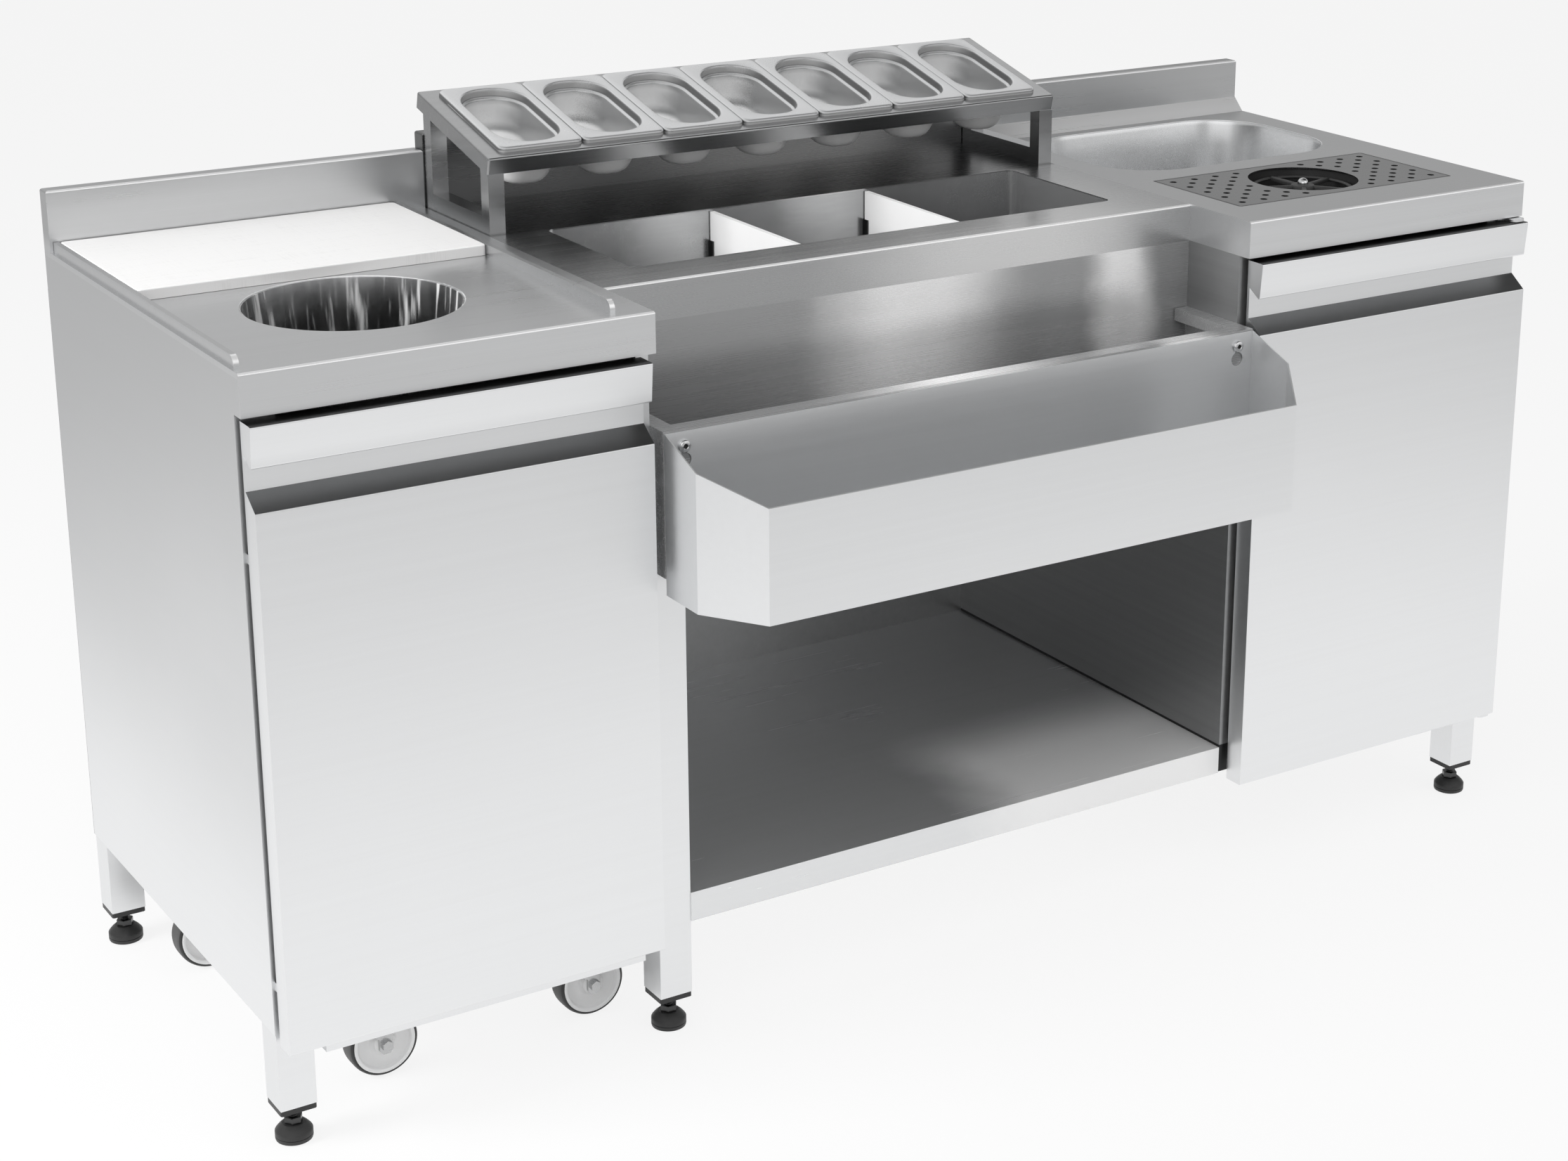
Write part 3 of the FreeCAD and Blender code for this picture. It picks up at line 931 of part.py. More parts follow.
def make_trolley():
    buffers = []
    for x in (FRONT_GAP + 1.0, TROLLEY_FRONT_END - BUFFER):
        for z in (FRONT_BOTTOM + 60, LIP_TOP - 60):
            buffers.append(box(x, x + BUFFER, FRONT_BACK, CARCASS_FRONT, z, z + BUFFER))
    save("trolley_front", join(folded_front(FRONT_GAP, TROLLEY_FRONT_END), *buffers))

    x0 = TROLLEY_LEFT
    x1 = TROLLEY_RIGHT
    y0 = FRONT_BACK
    outer = box(x0, x1, y0, TROLLEY_DEPTH, PLATFORM_BOTTOM, PLATFORM_BOTTOM + PLATFORM_EDGE)
    inner = box(
        x0 + SHEET, x1 - SHEET, y0 + SHEET, TROLLEY_DEPTH - SHEET, PLATFORM_BOTTOM + SHEET, PLATFORM_BOTTOM + PLATFORM_EDGE + 1)
    tray = outer.cut(inner)
    upright = box(x0, x1, y0, y0 + SHEET, PLATFORM_BOTTOM, PLATFORM_BOTTOM + UPRIGHT_HEIGHT)
    gussets = []
    for x in (x0, x1 - SHEET):
        gussets.append(side_prism(
            [
                (y0, PLATFORM_BOTTOM + PLATFORM_EDGE), (y0 + GUSSET, PLATFORM_BOTTOM + PLATFORM_EDGE),
                (y0, PLATFORM_BOTTOM + UPRIGHT_HEIGHT)],
            x, x + SHEET))
    save("trolley_platform", join(tray, upright, *gussets))

    floor = PLATFORM_BOTTOM + SHEET
    base_width = BIN_WIDTH - 2 * BIN_TAPER
    base_depth = BIN_DEPTH - 2 * BIN_TAPER
    guides = []
    for outward in (-1, 1):
        inner_face = BIN_X + outward * (base_width / 2 + 3.0)
        a0, a1 = sorted((inner_face, inner_face + outward * SHEET))
        b0, b1 = sorted((inner_face, inner_face + outward * BIN_GUIDE_FOOT))
        near = BIN_Y - base_depth / 2
        far = BIN_Y + base_depth / 2
        upright = box(a0, a1, near, far, floor, floor + BIN_GUIDE)
        foot = box(b0, b1, near, far, floor, floor + SHEET)
        guides.append(join(upright, foot))
    back = BIN_Y + base_depth / 2 + 3.0
    stop = join(
        box(BIN_X - BIN_STOP, BIN_X + BIN_STOP, back, back + SHEET, floor, floor + BIN_GUIDE),
        box(BIN_X - BIN_STOP, BIN_X + BIN_STOP, back, back + BIN_GUIDE_FOOT, floor, floor + SHEET))
    save("bin_guides", stop, *guides)

    top = BIN_TOP
    outer = drawn_form(BIN_WIDTH, BIN_DEPTH, 45.0, top, floor, BIN_TAPER, 12.0)
    wall = 2 * BIN_WALL
    inner = drawn_form(BIN_WIDTH - wall, BIN_DEPTH - wall, 45.0 - BIN_WALL, top + 0.5, floor + BIN_WALL, BIN_TAPER, 9.0)
    rim = plate_outline(BIN_WIDTH + 2 * BIN_RIM, BIN_DEPTH + 2 * BIN_RIM, 57.0, top - 14, top)
    under = plate_outline(BIN_WIDTH + 2 * BIN_RIM - 5, BIN_DEPTH + 2 * BIN_RIM - 5, 54.0, top - 15, top - BIN_WALL)
    core = plate_outline(BIN_WIDTH - 3, BIN_DEPTH - 3, 44.0, top - 16, top + 1)
    save("waste_bin", at(join(rim.cut(under).cut(core), outer).cut(inner), BIN_X, BIN_Y))

    plates = []
    number = 1
    for y in (y0 + KINGPIN_FRONT, TROLLEY_DEPTH - KINGPIN_REAR):
        for x in (x0 + KINGPIN_LEFT, x1 - KINGPIN_RIGHT):
            plates.append(castor(x, y, number))
            number += 1
    save("castor_plates", *plates)


os.makedirs("parts", exist_ok=True)
make_legs()
make_frame()
make_panels()
make_left_top()
make_bath()
make_trough()
make_speed_rail()
make_stand()
make_right_top()
make_door()
make_trolley()
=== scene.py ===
import bmesh
import bpy
import json
import math
from mathutils import Matrix, Vector


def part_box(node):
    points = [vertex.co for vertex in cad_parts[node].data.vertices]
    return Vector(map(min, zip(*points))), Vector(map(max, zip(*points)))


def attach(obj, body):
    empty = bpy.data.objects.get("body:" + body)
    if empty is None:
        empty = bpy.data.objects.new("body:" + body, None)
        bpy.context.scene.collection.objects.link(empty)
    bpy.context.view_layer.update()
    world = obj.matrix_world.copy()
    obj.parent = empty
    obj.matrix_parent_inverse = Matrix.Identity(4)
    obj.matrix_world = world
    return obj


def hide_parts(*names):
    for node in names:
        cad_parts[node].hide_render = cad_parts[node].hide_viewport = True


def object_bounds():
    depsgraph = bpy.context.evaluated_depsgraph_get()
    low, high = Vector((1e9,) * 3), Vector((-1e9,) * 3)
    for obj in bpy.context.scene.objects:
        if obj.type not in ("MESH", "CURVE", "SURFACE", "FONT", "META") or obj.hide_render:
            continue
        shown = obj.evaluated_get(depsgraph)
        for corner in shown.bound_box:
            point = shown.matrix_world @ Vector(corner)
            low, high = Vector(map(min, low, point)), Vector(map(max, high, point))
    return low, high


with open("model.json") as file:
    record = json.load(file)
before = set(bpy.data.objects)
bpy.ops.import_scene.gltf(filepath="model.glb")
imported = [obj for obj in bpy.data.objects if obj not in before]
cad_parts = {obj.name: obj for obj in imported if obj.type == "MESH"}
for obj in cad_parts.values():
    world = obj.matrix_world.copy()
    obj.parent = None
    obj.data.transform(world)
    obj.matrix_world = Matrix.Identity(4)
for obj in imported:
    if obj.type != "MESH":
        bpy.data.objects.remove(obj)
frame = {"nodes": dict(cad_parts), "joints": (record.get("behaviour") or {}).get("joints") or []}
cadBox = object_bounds()
nodes = frame["nodes"]
joints = {joint["name"]: joint for joint in frame["joints"]}
scene = bpy.context.scene
mm = 0.001
print("frame loaded,", len(nodes), "nodes")


class Wire:
    # one output socket that can be used in Python sums
    def __init__(self, graph, socket):
        self.graph = graph
        self.socket = socket

    def math(self, operation, left, right=0.0):
        return self.graph.add("ShaderNodeMath", {"operation": operation}, {0: left, 1: right})["Value"]

    def __add__(self, other):
        return self.math("ADD", self, other)

    def __radd__(self, other):
        return self.math("ADD", other, self)

    def __sub__(self, other):
        return self.math("SUBTRACT", self, other)

    def __rsub__(self, other):
        return self.math("SUBTRACT", other, self)

    def __mul__(self, other):
        return self.math("MULTIPLY", self, other)

    def __rmul__(self, other):
        return self.math("MULTIPLY", other, self)

    def __abs__(self):
        return self.math("ABSOLUTE", self)


class Graph:
    def __init__(self, owner):
        owner.use_nodes = True
        self.owner = owner
        self.tree = owner.node_tree
        self.tree.nodes.clear()

    def add(self, kind, settings=None, values=None):
        node = self.tree.nodes.new(kind)
        for key, value in (settings or {}).items():
            if key == "stops":
                ramp = node.color_ramp.elements
                for step, (position, colour) in enumerate(value):
                    element = ramp[step] if step < 2 else ramp.new(position)
                    element.position = position
                    element.color = colour
            else:
                setattr(node, key, value)
        for key, value in (values or {}).items():
            if isinstance(key, int):
                socket = node.inputs[key]
            else:
                socket = next(entry for entry in node.inputs if entry.enabled and entry.name == key)
            if isinstance(value, Wire):
                self.tree.links.new(value.socket, socket)
            else:
                socket.default_value = value
        return {entry.name: Wire(self, entry) for entry in node.outputs if entry.enabled}


def newMaterial(name):
    return Graph(bpy.data.materials.new(name))


def finishMaterial(graph, values):
    shader = graph.add("ShaderNodeBsdfPrincipled", None, values)["BSDF"]
    graph.add("ShaderNodeOutputMaterial", None, {"Surface": shader})
    return graph.owner


def objectPlace(graph):
    return graph.add("ShaderNodeTexCoord")["Object"]


def surfaceNormal(graph):
    return graph.add("ShaderNodeNewGeometry")["Normal"]


def components(graph, vector):
    return graph.add("ShaderNodeSeparateXYZ", None, {"Vector": vector})


def along(graph, vector, axis):
    return graph.add("ShaderNodeVectorMath", {"operation": "DOT_PRODUCT"}, {0: vector, 1: axis})["Value"]


def even(scale):
    return (scale, scale, scale)


def grained(across, lengthwise, axis):
    scale = [across, across, across]
    scale[axis] = lengthwise
    return scale


def noiseAlong(graph, scale, detail):
    # scale is three numbers per metre, small along the grain and large across it
    values = {"Vector": objectPlace(graph), "Scale": scale}
    stretched = graph.add("ShaderNodeMapping", None, values)["Vector"]
    return graph.add("ShaderNodeTexNoise", None, {
        "Vector": stretched, "Scale": 1.0, "Detail": detail, "Roughness": 0.55})["Fac"]


def blended(first, second, share):
    return first * share + second * (1 - share)


def wander(noise, amount):
    # noise about its middle value
    return (noise - 0.5) * amount


def towards(graph, value, start, end):
    # smooth step from 0 at start to 1 at end
    return graph.add("ShaderNodeMapRange", {"interpolation_type": "SMOOTHSTEP"}, {
        "Value": value, "From Min": start, "From Max": end})["Result"]


def mixColour(graph, factor, low, high):
    values = {"Factor": factor, "A": low, "B": high}
    return graph.add("ShaderNodeMix", {"data_type": "RGBA"}, values)["Result"]


def shaded(graph, colour, factor, level):
    values = {"Vector": colour, "Scale": level}
    scaled = graph.add("ShaderNodeVectorMath", {"operation": "SCALE"}, values)["Vector"]
    return mixColour(graph, factor, colour, scaled)


def bumped(graph, height, strength, distance):
    values = {"Strength": strength, "Distance": distance, "Height": height}
    return graph.add("ShaderNodeBump", None, values)["Normal"]


def grey(level, tint=0.0):
    return (level * (1 - tint), level, level * (1 + tint), 1.0)


def corners(name):
    return [Vector(corner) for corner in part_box(name)]


def numbered(stem, count):
    return ["%s_%d" % (stem, number) for number in range(1, count + 1)]


# sloped plane that the pans hang in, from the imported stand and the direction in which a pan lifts
stand = {"depth": 200 * mm, "clearance": 0.3 * mm}
standLow, standHigh = corners("stand_frame")
liftAxis = Vector(joints["pan_lift_1"]["axis"])
standTilt = math.atan2(-liftAxis.y, liftAxis.z)
panPlane = Matrix.Rotation(standTilt, 4, "X")
panSeat = Vector((0, standLow.y, standHigh.z - stand["depth"] * math.sin(standTilt)))
panSeat += panPlane @ Vector((0, stand["depth"] / 2, stand["clearance"]))
panLevel = panSeat.dot(liftAxis)

# brush marks of the sheets: noise per metre, its shares of tone and roughness, and the depth of the marks
brush = {
    "fine": 900.0, "fineLength": 5.0, "broad": 110.0, "broadLength": 0.9, "cloud": 5.0,
    "fineShare": 0.35, "wander": 0.08, "bump": 0.03, "bumpDepth": 0.4 * mm,
}

# brushed sheet, places and widths in metres. grain is the axis that the brush marks run along. The rest is
# optional: flat scales what faces up, painted shade below 1 and painted light above 1, patches are painted
# highlights in soft bright stretches (X, reach, tone), crest scales what stands above a height, painted shade
# below 1 and painted light above 1 (height, span, shade), pool is a painted pool of light on a front corner
# (X from, X to, Y from, Y to, white), foot is a dark joint (height, shade), outline a dark border round a
# node (node, width, shade), fold paints a highlight on the folds, and deck is painted shade on what lies
# behind a line (Y, shade)
sheetLooks = {
    # worktops: flat is painted shade on their tops, crest painted shade on the upstand
    "worktopSteel": {
        "grain": 0, "dark": 0.73, "light": 0.83, "roughness": 0.30, "smudge": 0.08,
        "flat": 0.96, "crest": (0.852, 0.02, 0.80), "fold": 0.7},
    "sinkTopSteel": {
        "grain": 0, "dark": 0.78, "light": 0.88, "roughness": 0.30, "smudge": 0.08,
        "flat": 0.66, "crest": (0.852, 0.02, 0.70), "fold": 0.7},
    # bath top: a darker copy of the worktop steel as painted shade, with painted highlights in its patch and
    # painted shade on the deck behind the bath
    "bathSteel": {
        "grain": 0, "dark": 0.44, "light": 0.52, "roughness": 0.27, "smudge": 0.10,
        "patches": [(0.13, 0.30, 0.86)], "fold": 0.8, "deck": (0.165, 0.40)},
    # casing and trough: a darker copy of the steel as painted shade under the apron, with painted highlights
    # in the patches
    "casingSteel": {
        "grain": 0, "dark": 0.36, "light": 0.42, "roughness": 0.27, "smudge": 0.10, "metallic": 0.5,
        "patches": [(0.0, 0.17, 1.0), (0.30, 0.06, 1.0)], "fold": 0.8},
    "frontSteel": {"grain": 0, "dark": 0.82, "light": 0.88, "roughness": 0.34, "smudge": 0.06},
    "railSteel": {
        "grain": 0, "dark": 0.83, "light": 0.89, "roughness": 0.32, "smudge": 0.08, "metallic": 0.88},
    # doors: flat is painted shade on the sloped finger lip, crest painted light on the top strip
    "doorSteel": {
        "grain": 0, "dark": 0.84, "light": 0.90, "roughness": 0.34, "smudge": 0.06,
        "flat": 0.12, "crest": (0.752, 0.02, 1.1)},
    # side panels: crest is painted shade that darkens them upwards
    "sideSteel": {
        "grain": 1, "dark": 0.86, "light": 0.92, "roughness": 0.36, "smudge": 0.06,
        "crest": (0.15, 0.35, 0.84)},
    # stand: flat above 1 is painted light on its upward faces
    "standSteel": {
        "grain": 0, "dark": 0.32, "light": 0.44, "roughness": 0.24, "smudge": 0.12, "flat": 1.5},
    "plateSteel": {
        "grain": 0, "dark": 0.20, "light": 0.28, "roughness": 0.28, "smudge": 0.10,
        "outline": ("drip_plate", 4 * mm, 0.12)},
    # shelf: flat is painted shade on its top, pool a painted pool of light at the front
    "shelfSteel": {
        "grain": 0, "dark": 0.78, "light": 0.84, "roughness": 0.24, "smudge": 0.12, "metallic": 0.65,
        "flat": 0.90, "pool": (0.00, 0.13, 0.06, -0.10, 0.7)},
    # partition and inner sheets: darker copies of the steel, painted shade for the inside of the cabinet
    "partitionSteel": {
        "grain": 1, "dark": 0.30, "light": 0.42, "roughness": 0.32, "smudge": 0.12, "metallic": 0.8,
        "foot": (0.172, 0.10)},
    "innerSteel": {
        "grain": 1, "dark": 0.34, "light": 0.46, "roughness": 0.32, "smudge": 0.12, "metallic": 0.8},
}

# how wide the edges of those places are, how far the clouds push them, and which slopes count as a fold
sheetEdges = {
    "flat": (0.6, 0.9), "patchCore": 0.15, "patchSway": 0.12, "poolSway": 0.10, "foot": 1 * mm,
    "deck": 12 * mm, "fold": (0.10, 0.35), "foldWhite": 0.7,
}


def outsideBy(place, name, index):
    # how far a point is outside a node along one axis, less than zero inside it
    low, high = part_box(name)
    middle = (low[index] + high[index]) / 2
    half = (high[index] - low[index]) / 2
    return abs(place["XYZ"[index]] - middle) - half


def sheetShading(graph, look, edges, colour, cloud):
    # painted shade, painted light and dark joints that belong to a place on the object, laid over the brushed
    # colour
    metallic = look.get("metallic", 1.0)
    place = components(graph, objectPlace(graph))
    facing = components(graph, surfaceNormal(graph))
    # painted shade on faces that point up; a level above 1 paints light there instead
    if "flat" in look:
        colour = shaded(graph, colour, towards(graph, facing["Z"], *edges["flat"]), look["flat"])
    # painted highlights: soft bright stretches along X
    for middle, reach, level in look.get("patches", ()):
        aside = abs(place["X"] - middle) + wander(cloud, edges["patchSway"])
        colour = mixColour(
            graph, towards(graph, aside, reach, reach * edges["patchCore"]), colour, grey(level))
    # painted shade above a height; a level above 1 paints light there instead
    if "crest" in look:
        height, span, level = look["crest"]
        colour = shaded(graph, colour, towards(graph, place["Z"], height, height + span), level)
    if "pool" in look:
        left, right, back, front, white = look["pool"]
        lit = towards(graph, place["X"] + wander(cloud, edges["poolSway"]), left, right)
        lit = lit * towards(graph, place["Y"], back, front)
        colour = mixColour(graph, lit, colour, grey(1.0))
        metallic = (1 - lit * white) * metallic
    if "foot" in look:
        height, level = look["foot"]
        colour = shaded(graph, colour, towards(graph, place["Z"], height, height - edges["foot"]), level)
    if "outline" in look:
        node, width, level = look["outline"]
        aside = outsideBy(place, node, 0)
        ahead = outsideBy(place, node, 1)
        near = aside.math("MAXIMUM", aside, ahead)
        colour = shaded(graph, colour, towards(graph, near, -width, -0.5 * width), level)
    # painted highlight on the folds and coves, where the normal lies between up and ahead
    if "fold" in look:
        ahead = towards(graph, abs(facing["Y"]), *edges["fold"])
        foldHighlight = ahead * towards(graph, abs(facing["Z"]), *edges["fold"]) * look["fold"]
        colour = mixColour(graph, foldHighlight, colour, grey(1.0))
        metallic = (1 - foldHighlight * edges["foldWhite"]) * metallic
    # painted shade on what lies behind a line
    if "deck" in look:
        line, level = look["deck"]
        colour = shaded(graph, colour, towards(graph, place["Y"], line, line + edges["deck"]), level)
    return colour, metallic


def brushedSheet(name, look):
    graph = newMaterial(name)
    fine = noiseAlong(graph, grained(brush["fine"], brush["fineLength"], look["grain"]), 2.0)
    broad = noiseAlong(graph, grained(brush["broad"], brush["broadLength"], look["grain"]), 3.0)
    cloud = noiseAlong(graph, even(brush["cloud"]), 4.0)
    tone = blended(fine, broad, brush["fineShare"])
    colour = mixColour(graph, tone, grey(look["dark"], 0.006), grey(look["light"], 0.010))
    colour, metallic = sheetShading(graph, look, sheetEdges, colour, cloud)
    roughness = wander(fine, brush["wander"]) + wander(broad, brush["wander"])
    roughness = roughness + wander(cloud, look["smudge"]) + look["roughness"]
    normal = bumped(graph, fine, brush["bump"], brush["bumpDepth"])
    return finishMaterial(graph, {
        "Base Color": colour, "Metallic": metallic, "Roughness": roughness, "Normal": normal})


# pressed steel: wall is painted shade on steep faces. The pans also have under, a painted reflection that
# turns the underside from mirror to white, upper and step, painted shade on the upper wall and on the band
# under the rim, and gleam, a painted highlight that whitens the bottom
satinLooks = {
    "panSteel": {
        "dark": 0.92, "light": 0.99, "roughness": 0.30, "metallic": 0.85, "wall": 0.50,
        "under": 0.9, "underTone": 0.92, "upper": 0.92, "step": 0.50, "gleam": 0.88, "gleamTone": 0.98},
    "bowlSteel": {"dark": 0.78, "light": 0.90, "roughness": 0.27, "metallic": 0.94, "wall": 0.94},
    # ice bath: its darker tone is painted shade inside the bath
    "bathSides": {"dark": 0.42, "light": 0.58, "roughness": 0.24, "metallic": 0.82},
}
pressing = {
    "speck": 1400.0, "drawn": (18.0, 18.0, 160.0), "cloud": (14.0, 14.0, 9.0), "drawnShare": 0.6,
    "speckWander": 0.12, "cloudWander": 0.14, "bump": 0.05, "bumpDepth": 0.4 * mm,
    "steep": (0.72, 0.30), "below": (0.10, -0.20),
}

# heights over the stand between which a pan's painted shade and painted highlight come and go
panHeights = {
    "upper": (-38 * mm, -6 * mm), "bottom": (-40 * mm, -47 * mm),
    "stepFoot": (-4.6 * mm, -3.4 * mm), "stepTop": (4.2 * mm, 3.0 * mm),
}


def panShading(graph, look, heights, colour, up):
    # painted reflection: the underside turns from mirror to a white tone
    below = towards(graph, up, *pressing["below"])
    colour = mixColour(graph, below * look["under"], colour, grey(look["underTone"]))
    metallic = (1 - below * look["under"]) * look["metallic"]
    height = along(graph, objectPlace(graph), liftAxis) - panLevel
    band = towards(graph, height, *heights["stepFoot"]) * towards(graph, height, *heights["stepTop"])
    # painted shade on the upper wall and on the band under the rim
    colour = shaded(graph, colour, towards(graph, height, *heights["upper"]), look["upper"])
    colour = shaded(graph, colour, band, look["step"])
    # painted highlight that whitens the bottom
    lit = towards(graph, height, *heights["bottom"]) * (1 - below)
    colour = mixColour(graph, lit, colour, grey(look["gleamTone"]))
    return colour, metallic * (1 - lit * look["gleam"])


def satinSteel(name, look):
    graph = newMaterial(name)
    speck = noiseAlong(graph, even(pressing["speck"]), 2.0)
    drawn = noiseAlong(graph, pressing["drawn"], 3.0)
    cloud = noiseAlong(graph, pressing["cloud"], 3.0)
    tone = blended(drawn, cloud, pressing["drawnShare"])
    colour = mixColour(graph, tone, grey(look["dark"], 0.008), grey(look["light"], 0.008))
    metallic = look["metallic"]
    up = components(graph, surfaceNormal(graph))["Z"]
    # painted shade on steep faces
    if "wall" in look:
        colour = shaded(graph, colour, towards(graph, up, *pressing["steep"]), look["wall"])
    if "under" in look:
        colour, metallic = panShading(graph, look, panHeights, colour, up)
    roughness = wander(speck, pressing["speckWander"]) + wander(cloud, pressing["cloudWander"])
    roughness = roughness + look["roughness"]
    normal = bumped(graph, speck, pressing["bump"], pressing["bumpDepth"])
    return finishMaterial(graph, {
        "Base Color": colour, "Metallic": metallic, "Roughness": roughness, "Normal": normal})


# moulded plastics: two tones, roughness, size and strength of the moulded grain
plasticLooks = {
    "blackPlastic": {"dark": 0.012, "light": 0.035, "roughness": 0.45, "grain": 1500.0, "bump": 0.12},
    "whiteSheet": {"dark": 0.84, "light": 0.89, "roughness": 0.38, "grain": 900.0, "bump": 0.04},
    "greyBin": {"dark": 0.25, "light": 0.31, "roughness": 0.5, "grain": 1100.0, "bump": 0.10},
    "wheelDisc": {"dark": 0.82, "light": 0.90, "roughness": 0.36, "grain": 800.0, "bump": 0.05},
    "wheelRim": {"dark": 0.93, "light": 0.97, "roughness": 0.34, "grain": 800.0, "bump": 0.05},
    "wheelTread": {"dark": 0.05, "light": 0.09, "roughness": 0.55, "grain": 1600.0, "bump": 0.16},
    "wheelRing": {"dark": 0.016, "light": 0.03, "roughness": 0.5, "grain": 1600.0, "bump": 0.10},
}
moulding = {
    "cloud": 22.0, "cloudShare": 0.7, "cloudWander": 0.18, "grainWander": 0.10, "bumpDepth": 0.5 * mm}


def mouldedPlastic(name, look):
    graph = newMaterial(name)
    grain = noiseAlong(graph, even(look["grain"]), 2.0)
    cloud = noiseAlong(graph, even(moulding["cloud"]), 4.0)
    tone = blended(cloud, grain, moulding["cloudShare"])
    colour = mixColour(graph, tone, grey(look["dark"]), grey(look["light"]))
    roughness = wander(cloud, moulding["cloudWander"]) + wander(grain, moulding["grainWander"])
    roughness = roughness + look["roughness"]
    normal = bumped(graph, grain, look["bump"], moulding["bumpDepth"])
    return finishMaterial(graph, {"Base Color": colour, "Roughness": roughness, "Normal": normal})


# white board with faint knife marks in two directions
boardLook = {
    "white": grey(0.80, -0.004), "worn": grey(0.70, -0.006), "roughness": 0.46,
    "cutsAcross": (14.0, 620.0, 40.0), "cutsAlong": (520.0, 22.0, 40.0), "acrossShare": 0.6,
    "cutFrom": 0.56, "cutTo": 0.68, "cutRoughness": 0.2, "patch": 9.0, "patchWander": 0.12,
    "bump": 0.10, "bumpDepth": 0.6 * mm,
}


def cuttingBoardWhite(name, look):
    graph = newMaterial(name)
    cutsAcross = noiseAlong(graph, look["cutsAcross"], 1.0)
    cutsAlong = noiseAlong(graph, look["cutsAlong"], 1.0)
    patch = noiseAlong(graph, even(look["patch"]), 3.0)
    cuts = graph.add("ShaderNodeMapRange", None, {
        "Value": blended(cutsAcross, cutsAlong, look["acrossShare"]),
        "From Min": look["cutFrom"], "From Max": look["cutTo"]})["Result"]
    marks = cuts * patch
    colour = mixColour(graph, marks, look["white"], look["worn"])
    roughness = marks * look["cutRoughness"] + wander(patch, look["patchWander"]) + look["roughness"]
    normal = bumped(graph, 1 - marks, look["bump"], look["bumpDepth"])
    return finishMaterial(graph, {"Base Color": colour, "Roughness": roughness, "Normal": normal})


# polished and rolled parts, plated castor sheet and dark fittings. The rolled lines are whitened in streaks,
# a painted reflection
brightLooks = {
    "polishedSteel": {"dark": 0.66, "light": 0.80, "roughness": 0.12, "lines": (60.0, 60.0, 900.0)},
    # rolled collar: its wide span from dark to light lines and the whitened streaks are painted reflection
    # streaks
    "rolledSteel": {
        "dark": 0.28, "light": 0.98, "roughness": 0.24, "lines": (95.0, 95.0, 1.0), "reflectionStreak": 0.65},
    "platedSteel": {"dark": 0.44, "light": 0.58, "roughness": 0.26, "lines": even(300.0)},
    "darkSteel": {"dark": 0.05, "light": 0.10, "roughness": 0.30, "lines": even(300.0)},
}
turning = {
    "cloud": 30.0, "linesShare": 0.5, "linesWander": 0.06, "cloudWander": 0.08, "reflectionStreak": (0.50, 0.66)}


def brightSteel(name, look):
    graph = newMaterial(name)
    lines = noiseAlong(graph, look["lines"], 2.0)
    cloud = noiseAlong(graph, even(turning["cloud"]), 3.0)
    tone = blended(lines, cloud, turning["linesShare"])
    colour = mixColour(graph, tone, grey(look["dark"], 0.006), grey(look["light"], 0.006))
    metallic = 1.0
    # painted reflection: streaks of the rolled lines turn from mirror to white
    if "reflectionStreak" in look:
        gleam = towards(graph, lines, *turning["reflectionStreak"]) * look["reflectionStreak"]
        colour = mixColour(graph, gleam, colour, grey(look["light"]))
        metallic = 1 - gleam
    roughness = wander(lines, turning["linesWander"]) + wander(cloud, turning["cloudWander"])
    roughness = roughness + look["roughness"]
    return finishMaterial(graph, {"Base Color": colour, "Metallic": metallic, "Roughness": roughness})


steel = {name: brushedSheet(name, look) for name, look in sheetLooks.items()}
plastic = {name: mouldedPlastic(name, look) for name, look in plasticLooks.items()}
satin = {name: satinSteel(name, look) for name, look in satinLooks.items()}
boardWhite = cuttingBoardWhite("boardWhite", boardLook)
bright = {name: brightSteel(name, look) for name, look in brightLooks.items()}
print("materials ready,", len(bpy.data.materials), "in the file")

# which finish each frame node wears
nodeFinish = {
    steel["worktopSteel"]: ["left_worktop", "board_rails"],
    steel["sinkTopSteel"]: ["right_worktop"],
    steel["standSteel"]: ["stand_frame"],
    steel["plateSteel"]: ["drip_plate", "rinser_tray"],
    steel["bathSteel"]: ["bath_top"],
    steel["casingSteel"]: ["bath_casing", "bottle_trough"],
    steel["doorSteel"]: ["trolley_front", "door"],
    steel["railSteel"]: ["speed_rail"],
    steel["frontSteel"]: ["legs", "door_pivots", "trolley_platform"],
    steel["sideSteel"]: ["left_side_panel", "right_side_panel", "left_partition"],
    steel["shelfSteel"]: ["bottom_shelf", "frame_rails"],
    steel["partitionSteel"]: ["right_partition"],
    steel["innerSteel"]: ["back_panel", "right_floor", "bin_guides"],
    satin["bowlSteel"]: ["sink_bowl"],
    satin["bathSides"]: ["ice_bath"],
    satin["panSteel"]: numbered("pan", 7),
    bright["polishedSteel"]: [
        "waste_collar", "drain_fittings", "rinser_valve", "hanger_screws", "rinser_star"],
    bright["platedSteel"]: ["castor_plates"] + numbered("castor_fork", 4),
    # the divider guides are painted near black for the shade in their slots
    bright["darkSteel"]: ["divider_guides"],
    plastic["blackPlastic"]: ["leg_caps", "rinser_cup"] + numbered("foot", 6),
    plastic["whiteSheet"]: ["divider_1", "divider_2"],
    plastic["greyBin"]: ["waste_bin"],
    plastic["wheelDisc"]: numbered("castor_wheel", 4),
    boardWhite: ["cutting_board"],
}
for finish, names in nodeFinish.items():
    for name in names:
        slots = nodes[name].data.materials
        slots.clear()
        slots.append(finish)


